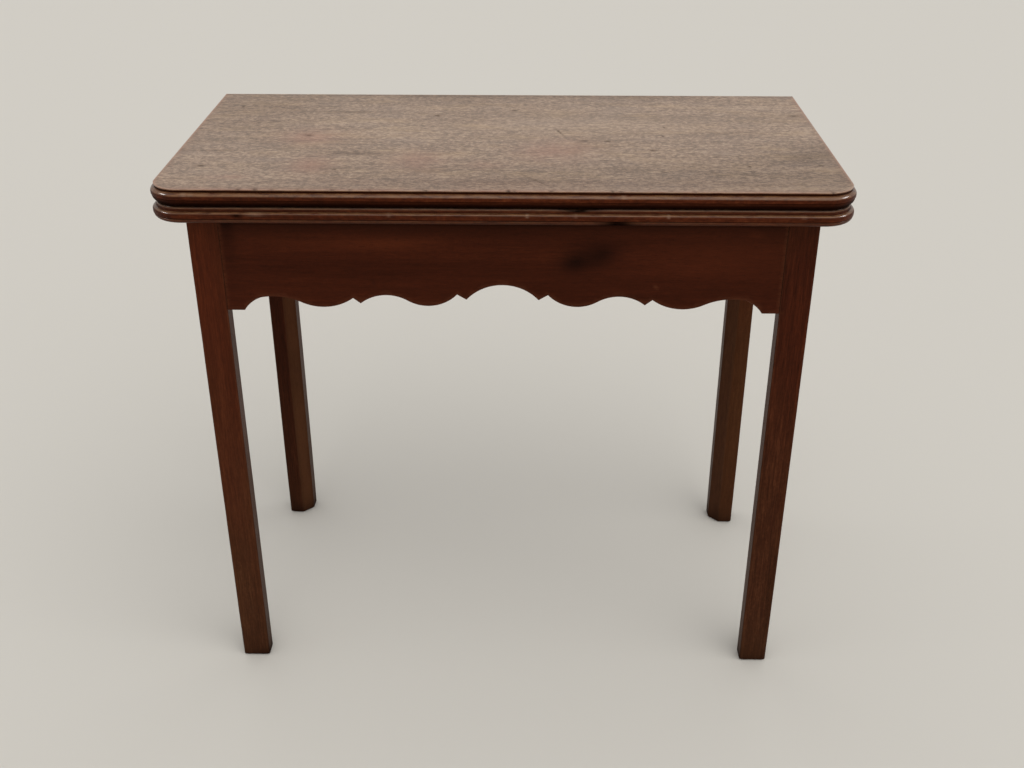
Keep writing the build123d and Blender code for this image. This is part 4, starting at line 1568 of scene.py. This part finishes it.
def leg_levels(height, stop):
    """Heights of the rings: close together along the leg, doubled where the chamfer stops."""
    below = list(np.linspace(foot_bevel, stop, round(stop / ring_step)))
    above = list(np.linspace(stop, height, round((height - stop) / ring_step)))
    rows = [(0.0, "cut", foot_bevel)] + [(level, "cut", 0.0) for level in below]
    return rows + [(level, "whole", 0.0) for level in above]


print("legs", round(2 * leg_half, 4), "m square, in", len(side_shares) + corner_points, "points a side")

# %% [markdown]
# ## How a leg ages
#
# A leg stays dark and waxed near the top and turns dry and brown low down, and dirt and
# scuffs gather in the last few centimetres. A painted texture could show that, but it
# would have to be painted four times. Rules from the height of a point and from the side
# that it is on serve all four legs, and noise keeps them from looking alike.
# The inner side of each leg and the front of the gate leg are also painted darker as shade, and a chamfer
# that faces the light is painted lighter.

# %% Wear of a leg
leg_swell = 0.00012
leg_swell_waves = (40, 9)
dry_waves = (30, 6)
scuff_waves = (60, 30)
side_margin = 0.001
# How much darker each leg's inner side is painted, as shade.
side_shade = 0.22
side_rub = 0.5
dry_below = 0.60
dry_strength, dry_unevenness, dry_chamfer = 1.1, 0.25, 0.55
foot_warmth = 0.4
# Strength of the dirt at the floor, and how far up it reaches.
floor_dirt = ((0.5, 0.010), (0.3, 0.035))
scuff_dirt, scuff_reach = 0.35, 0.12


def leg_noise(x, y, level, seed, waves):
    """Noise on a leg, with so many waves a metre round it and up it."""
    return noise(Vector((x * waves[0], y * waves[0], level * waves[1] + seed)))


def leg_wear(x, y, level, seed, inward, marks, look):
    """What each attribute says at one point of a leg."""
    rubbing, dirt_and_shade, chamfered = marks
    # The inner side is painted darker as shade.
    shaded = float(x * inward[0] > leg_half - side_margin)
    front = float(y < side_margin - leg_half)
    dry = max(0.0, 1 - level / dry_below) + dry_unevenness * leg_noise(x, y, level, seed, dry_waves)
    dry = dry_strength * dry + dry_chamfer * chamfered + look["front dry"] * front
    dirt_and_shade += sum(strength * near_floor(level, reach) for strength, reach in floor_dirt)
    scuffed = max(0.0, leg_noise(x, y, level, seed, scuff_waves))
    dirt_and_shade += scuff_dirt * scuffed * near_floor(level, scuff_reach)
    # The front, where a leg asks for it, and the inner side are painted darker as shade.
    dirt_and_shade += look["front shade"] * front + side_shade * shaded
    # A chamfer that faces the light is painted warmer and lighter.
    warmth = max(look["front warm"] * front, look["chamfer painted light"] * chamfered)
    return {
        "dirt_and_shade": min(1.0, dirt_and_shade), "rubbed_and_highlit": max(rubbing, side_rub * shaded),
        "faded": min(1.0, max(0.0, dry)), "warm": max(warmth, foot_warmth * near_floor(level, foot_reach)),
    }


def worn_leg(node, turn, inward, stop, seed, look):
    """The closed mesh of one leg in place."""
    low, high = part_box(node)
    centre = ((low.x + high.x) / 2, (low.y + high.y) / 2, 0)
    place = Matrix.Translation(centre) @ Matrix.Rotation(turn, 4, "Z")
    shape = bmesh.new()
    layers = {title: shape.verts.layers.float.new(title) for title in ("dirt_and_shade", "rubbed_and_highlit", "faded", "warm")}
    rings = []
    for level, chamfer, inset in leg_levels(high.z, stop):
        ring = []
        for x, y, marks in leg_ring(inward, level, seed, chamfer, inset):
            pull = 1 - leg_swell * (1 + leg_noise(x, y, level, seed, leg_swell_waves)) / leg_half
            vert = shape.verts.new(place @ Vector((x * pull, y * pull, level)))
            for title, value in leg_wear(x, y, level, seed, inward, marks, look).items():
                vert[layers[title]] = value
            ring.append(vert)
        rings.append(ring)
    shape.faces.new(rings[0][::-1])
    shape.faces.new(rings[-1])
    for low_ring, high_ring in zip(rings, rings[1:]):
        join_rings(shape, low_ring, high_ring)
    bmesh.ops.dissolve_degenerate(shape, edges=shape.edges, dist=no_length)
    return to_mesh(shape, "worn_" + node)


# %% Four legs
plain_look = {"front shade": 0.0, "front dry": 0.0, "front warm": 0.0, "chamfer painted light": 0.0}
gate_joint = next(joint for joint in frame["joints"] if joint["name"] == "gate_swing")
gate_turn = math.radians(gate_joint["range_deg"][0])
fly_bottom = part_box("fly_rail")[0].z
for node, body, turn, inward, stop, seed, look in (
    ("front_left_leg", "frame", 0.0, (1, 1), apron_low.z, 1.3, {"front warm": 0.35}),
    ("front_right_leg", "frame", 0.0, (-1, 1), apron_low.z, 4.1, {}),
    ("rear_right_leg", "frame", 0.0, (-1, -1), apron_low.z, 7.9,
     {"front dry": 0.4, "front warm": 0.5, "chamfer painted light": 0.1}),
    # The gate leg's front is painted darker as shade, and its chamfer lighter as painted light.
    ("gate_leg", "gate", gate_turn, (1, -1), fly_bottom, 12.7,
     {"front shade": 0.25, "front dry": -0.3, "chamfer painted light": 0.9}),
):
    mesh = worn_leg(node, turn, inward, stop, seed, plain_look | look)
    complete(mesh, node, body, [leg_wood])

# %% [markdown]
# ## Rails, blocks and hinge plates
#
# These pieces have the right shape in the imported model, pockets, knuckles and screw
# holes included, so there is nothing to model again. A copy of each is merged and its
# sharp arrises get a tiny bevel, so that they catch the light as worn wood and filed
# brass do.

# %% Softened copies
flat_enough = math.radians(1.0)


def softened(node, arris_width, shortest):
    """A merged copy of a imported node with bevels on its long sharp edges."""
    shape = bmesh.new()
    shape.from_mesh(frame["nodes"][node].data)
    bmesh.ops.remove_doubles(shape, verts=shape.verts, dist=same_place)
    bmesh.ops.dissolve_limit(
        shape, angle_limit=flat_enough, verts=shape.verts, edges=shape.edges, delimit=set()
    )
    sharp = [
        edge for edge in shape.edges
        if len(edge.link_faces) == 2 and edge.calc_face_angle() > crease and edge.calc_length() > shortest
    ]
    bmesh.ops.bevel(
        shape, geom=sharp, offset=arris_width, offset_type="OFFSET", segments=2, profile=0.5,
        affect="EDGES", clamp_overlap=True,
    )
    bmesh.ops.dissolve_degenerate(shape, edges=shape.edges, dist=no_length)
    return to_mesh(shape, "worn_" + node)


# %% The rails and blocks
rail_arris = 0.0006
block_arris = 0.0012
shortest_rail_edge = 0.012
for node, body, slot, material, width in (
    ("left_side_rail", "frame", "mahogany_frame", side_wood, rail_arris),
    ("right_side_rail", "frame", "mahogany_frame", side_wood, rail_arris),
    ("rear_inner_rail", "frame", "secondary_wood", rail_oak, rail_arris),
    ("fixed_knuckle_rail", "frame", "secondary_wood", rail_oak, rail_arris),
    ("fly_rail", "gate", "secondary_wood", rail_oak, rail_arris),
    ("glue_blocks", "frame", "secondary_wood", block_oak, block_arris),
):
    complete(softened(node, width, shortest_rail_edge), node, body, [material])

# %% The hinge plates
plate_arris = 0.0002
shortest_plate_edge = 0.006
for which, body in (("lower", "frame"), ("upper", "leaf")):
    for side in ("left", "right"):
        node = f"{side}_hinge_{which}_plate"
        complete(softened(node, plate_arris, shortest_plate_edge), node, body, [brass])

# %% [markdown]
# ## Screws, by Geometry Nodes
#
# The screws are old slotted ones with filed heads, and each kind is used several times.
# One screw of each kind is turned on a lathe of rings, with its thread as a spiral in
# their radius. Copies could be placed by hand, but heads that all point the same way
# look made by a machine. The tree puts a copy at every place, points it the way it was
# driven, and turns each head by a random angle from a fixed seed.

# %% One slotted screw
slot_width = 0.0008
slot_depth = 0.0007
point_length = 0.004
screw_sides = 24
thread_steps = 4
pitch_share = 0.95
thread_start_share = 0.35
thread_depth_share = 0.22
head_edge_share = 0.12


def slotted_screw(name, head, shank, length):
    """A screw that points up, its head's top at the origin."""
    pitch = shank * pitch_share
    neck = head - shank
    step = pitch / thread_steps
    levels = [0.0, head_edge_share * neck, neck] + list(np.arange(neck + pitch, length - step, step))
    shape = bmesh.new()
    rings = []
    for level in levels:
        ring = []
        for side in range(screw_sides):
            turn = math.tau * side / screw_sides
            radius = head - level if level <= neck else shank
            if level > thread_start_share * length:
                phase = (level / pitch - turn / math.tau) % 1.0
                radius *= 1 - thread_depth_share * abs(2 * phase - 1)
            radius *= min(1.0, (length - level) / point_length)
            ring.append(shape.verts.new((radius * math.cos(turn), radius * math.sin(turn), level)))
        rings.append(ring)
    top = shape.verts.new((0, 0, 0))
    tip = shape.verts.new((0, 0, length))
    for here in range(screw_sides):
        there = (here + 1) % screw_sides
        shape.faces.new((top, rings[0][here], rings[0][there]))
        shape.faces.new((tip, rings[-1][there], rings[-1][here]))
        for low, high in zip(rings, rings[1:]):
            shape.faces.new((low[here], low[there], high[there], high[here]))
    slot_cut = bmesh.new()
    outline = rectangle(-head - slot_width, head + slot_width, -slot_width / 2, slot_width / 2)
    prism(slot_cut, outline, -slot_width, slot_depth)
    screw = link(cut(to_mesh(shape, name), slot_cut), name)
    print(name, len(screw.data.polygons), "faces")
    return screw


# %% The tree that puts screws in their places
screw_tree, given = start_tree("screws_at_places", [
    ("Screw", "Object"), ("Seed", "Int"), ("Finish", "Material"),
])
spin = add(
    screw_tree, "FunctionNodeRandomValue", {"data_type": "FLOAT"},
    {"Max": math.tau, "Seed": given["Seed"]},
)
turned = add(
    screw_tree, "FunctionNodeAxisAngleToRotation", None,
    {"Axis": (0, 0, 1), "Angle": next(output for output in spin.outputs if output.enabled)},
)
driven = add(screw_tree, "GeometryNodeInputNamedAttribute", {"data_type": "FLOAT_VECTOR"}, {"Name": "driven"})
aimed = add(
    screw_tree, "FunctionNodeAlignRotationToVector", {"axis": "Z"},
    {"Rotation": turned.outputs[0], "Vector": driven.outputs["Attribute"]},
)
one = add(screw_tree, "GeometryNodeObjectInfo", None, {"Object": given["Screw"]})
copies = add(
    screw_tree, "GeometryNodeInstanceOnPoints", None,
    {"Points": given["Geometry"], "Instance": one.outputs["Geometry"], "Rotation": aimed.outputs[0]},
)
end_tree(screw_tree, copies.outputs[0], given["Finish"])

# %% The screws in place
# The head and the shank are given as radii.
hinge_screw = slotted_screw("hinge_screw", head=0.0028, shank=0.0013, length=0.018)
rail_screw = slotted_screw("rail_screw", head=0.0042, shank=0.0021, length=0.042)
knuckle_screw = slotted_screw("knuckle_screw", head=0.0042, shank=0.0021, length=0.0385)


def towards_middle(x):
    """The way a hinge screw is driven, into the end of a leaf."""
    return (-math.copysign(1, x), 0, 0)


def head_place(corners, way):
    """The middle of a screw's head, from its box and the way it is driven."""
    low, high = corners
    place = (low + high) / 2
    for axis in range(3):
        if way[axis]:
            place[axis] = low[axis] if way[axis] > 0 else high[axis]
    return place


for node, body, screw, seed, way_of in (
    ("lower_hinge_screws", "frame", hinge_screw, 2, towards_middle),
    ("upper_hinge_screws", "leaf", hinge_screw, 3, towards_middle),
    ("top_fixing_screws", "frame", rail_screw, 4, lambda x: (0, 0, 1)),
    ("knuckle_rail_screws", "frame", knuckle_screw, 5, lambda x: (0, -1, 0)),
):
    solids = loose_solids(node)
    ways = [way_of(low.x) for low, high in solids]
    points = bpy.data.meshes.new(node + "_places")
    points.from_pydata([head_place(corners, way) for corners, way in zip(solids, ways)], [], [])
    aims = points.attributes.new("driven", "FLOAT_VECTOR", "POINT")
    aims.data.foreach_set("vector", [part for way in ways for part in way])
    mesh = grow(link(points, node + "_places"), screw_tree, {"Screw": screw, "Seed": seed, "Finish": iron})
    complete(mesh, node, body, [iron])
for screw in (hinge_screw, rail_screw, knuckle_screw):
    bpy.data.objects.remove(screw)

# %% [markdown]
# ## Pins
#
# The three pins are plain rods, and only their ends ever show. A worn copy would look
# the same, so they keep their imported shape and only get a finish.

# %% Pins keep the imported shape
for node, material in (("knuckle_pin", iron), ("left_hinge_pin", brass), ("right_hinge_pin", brass)):
    for place in frame["nodes"][node].material_slots:
        place.material = material
    print(node, "in", material.name)
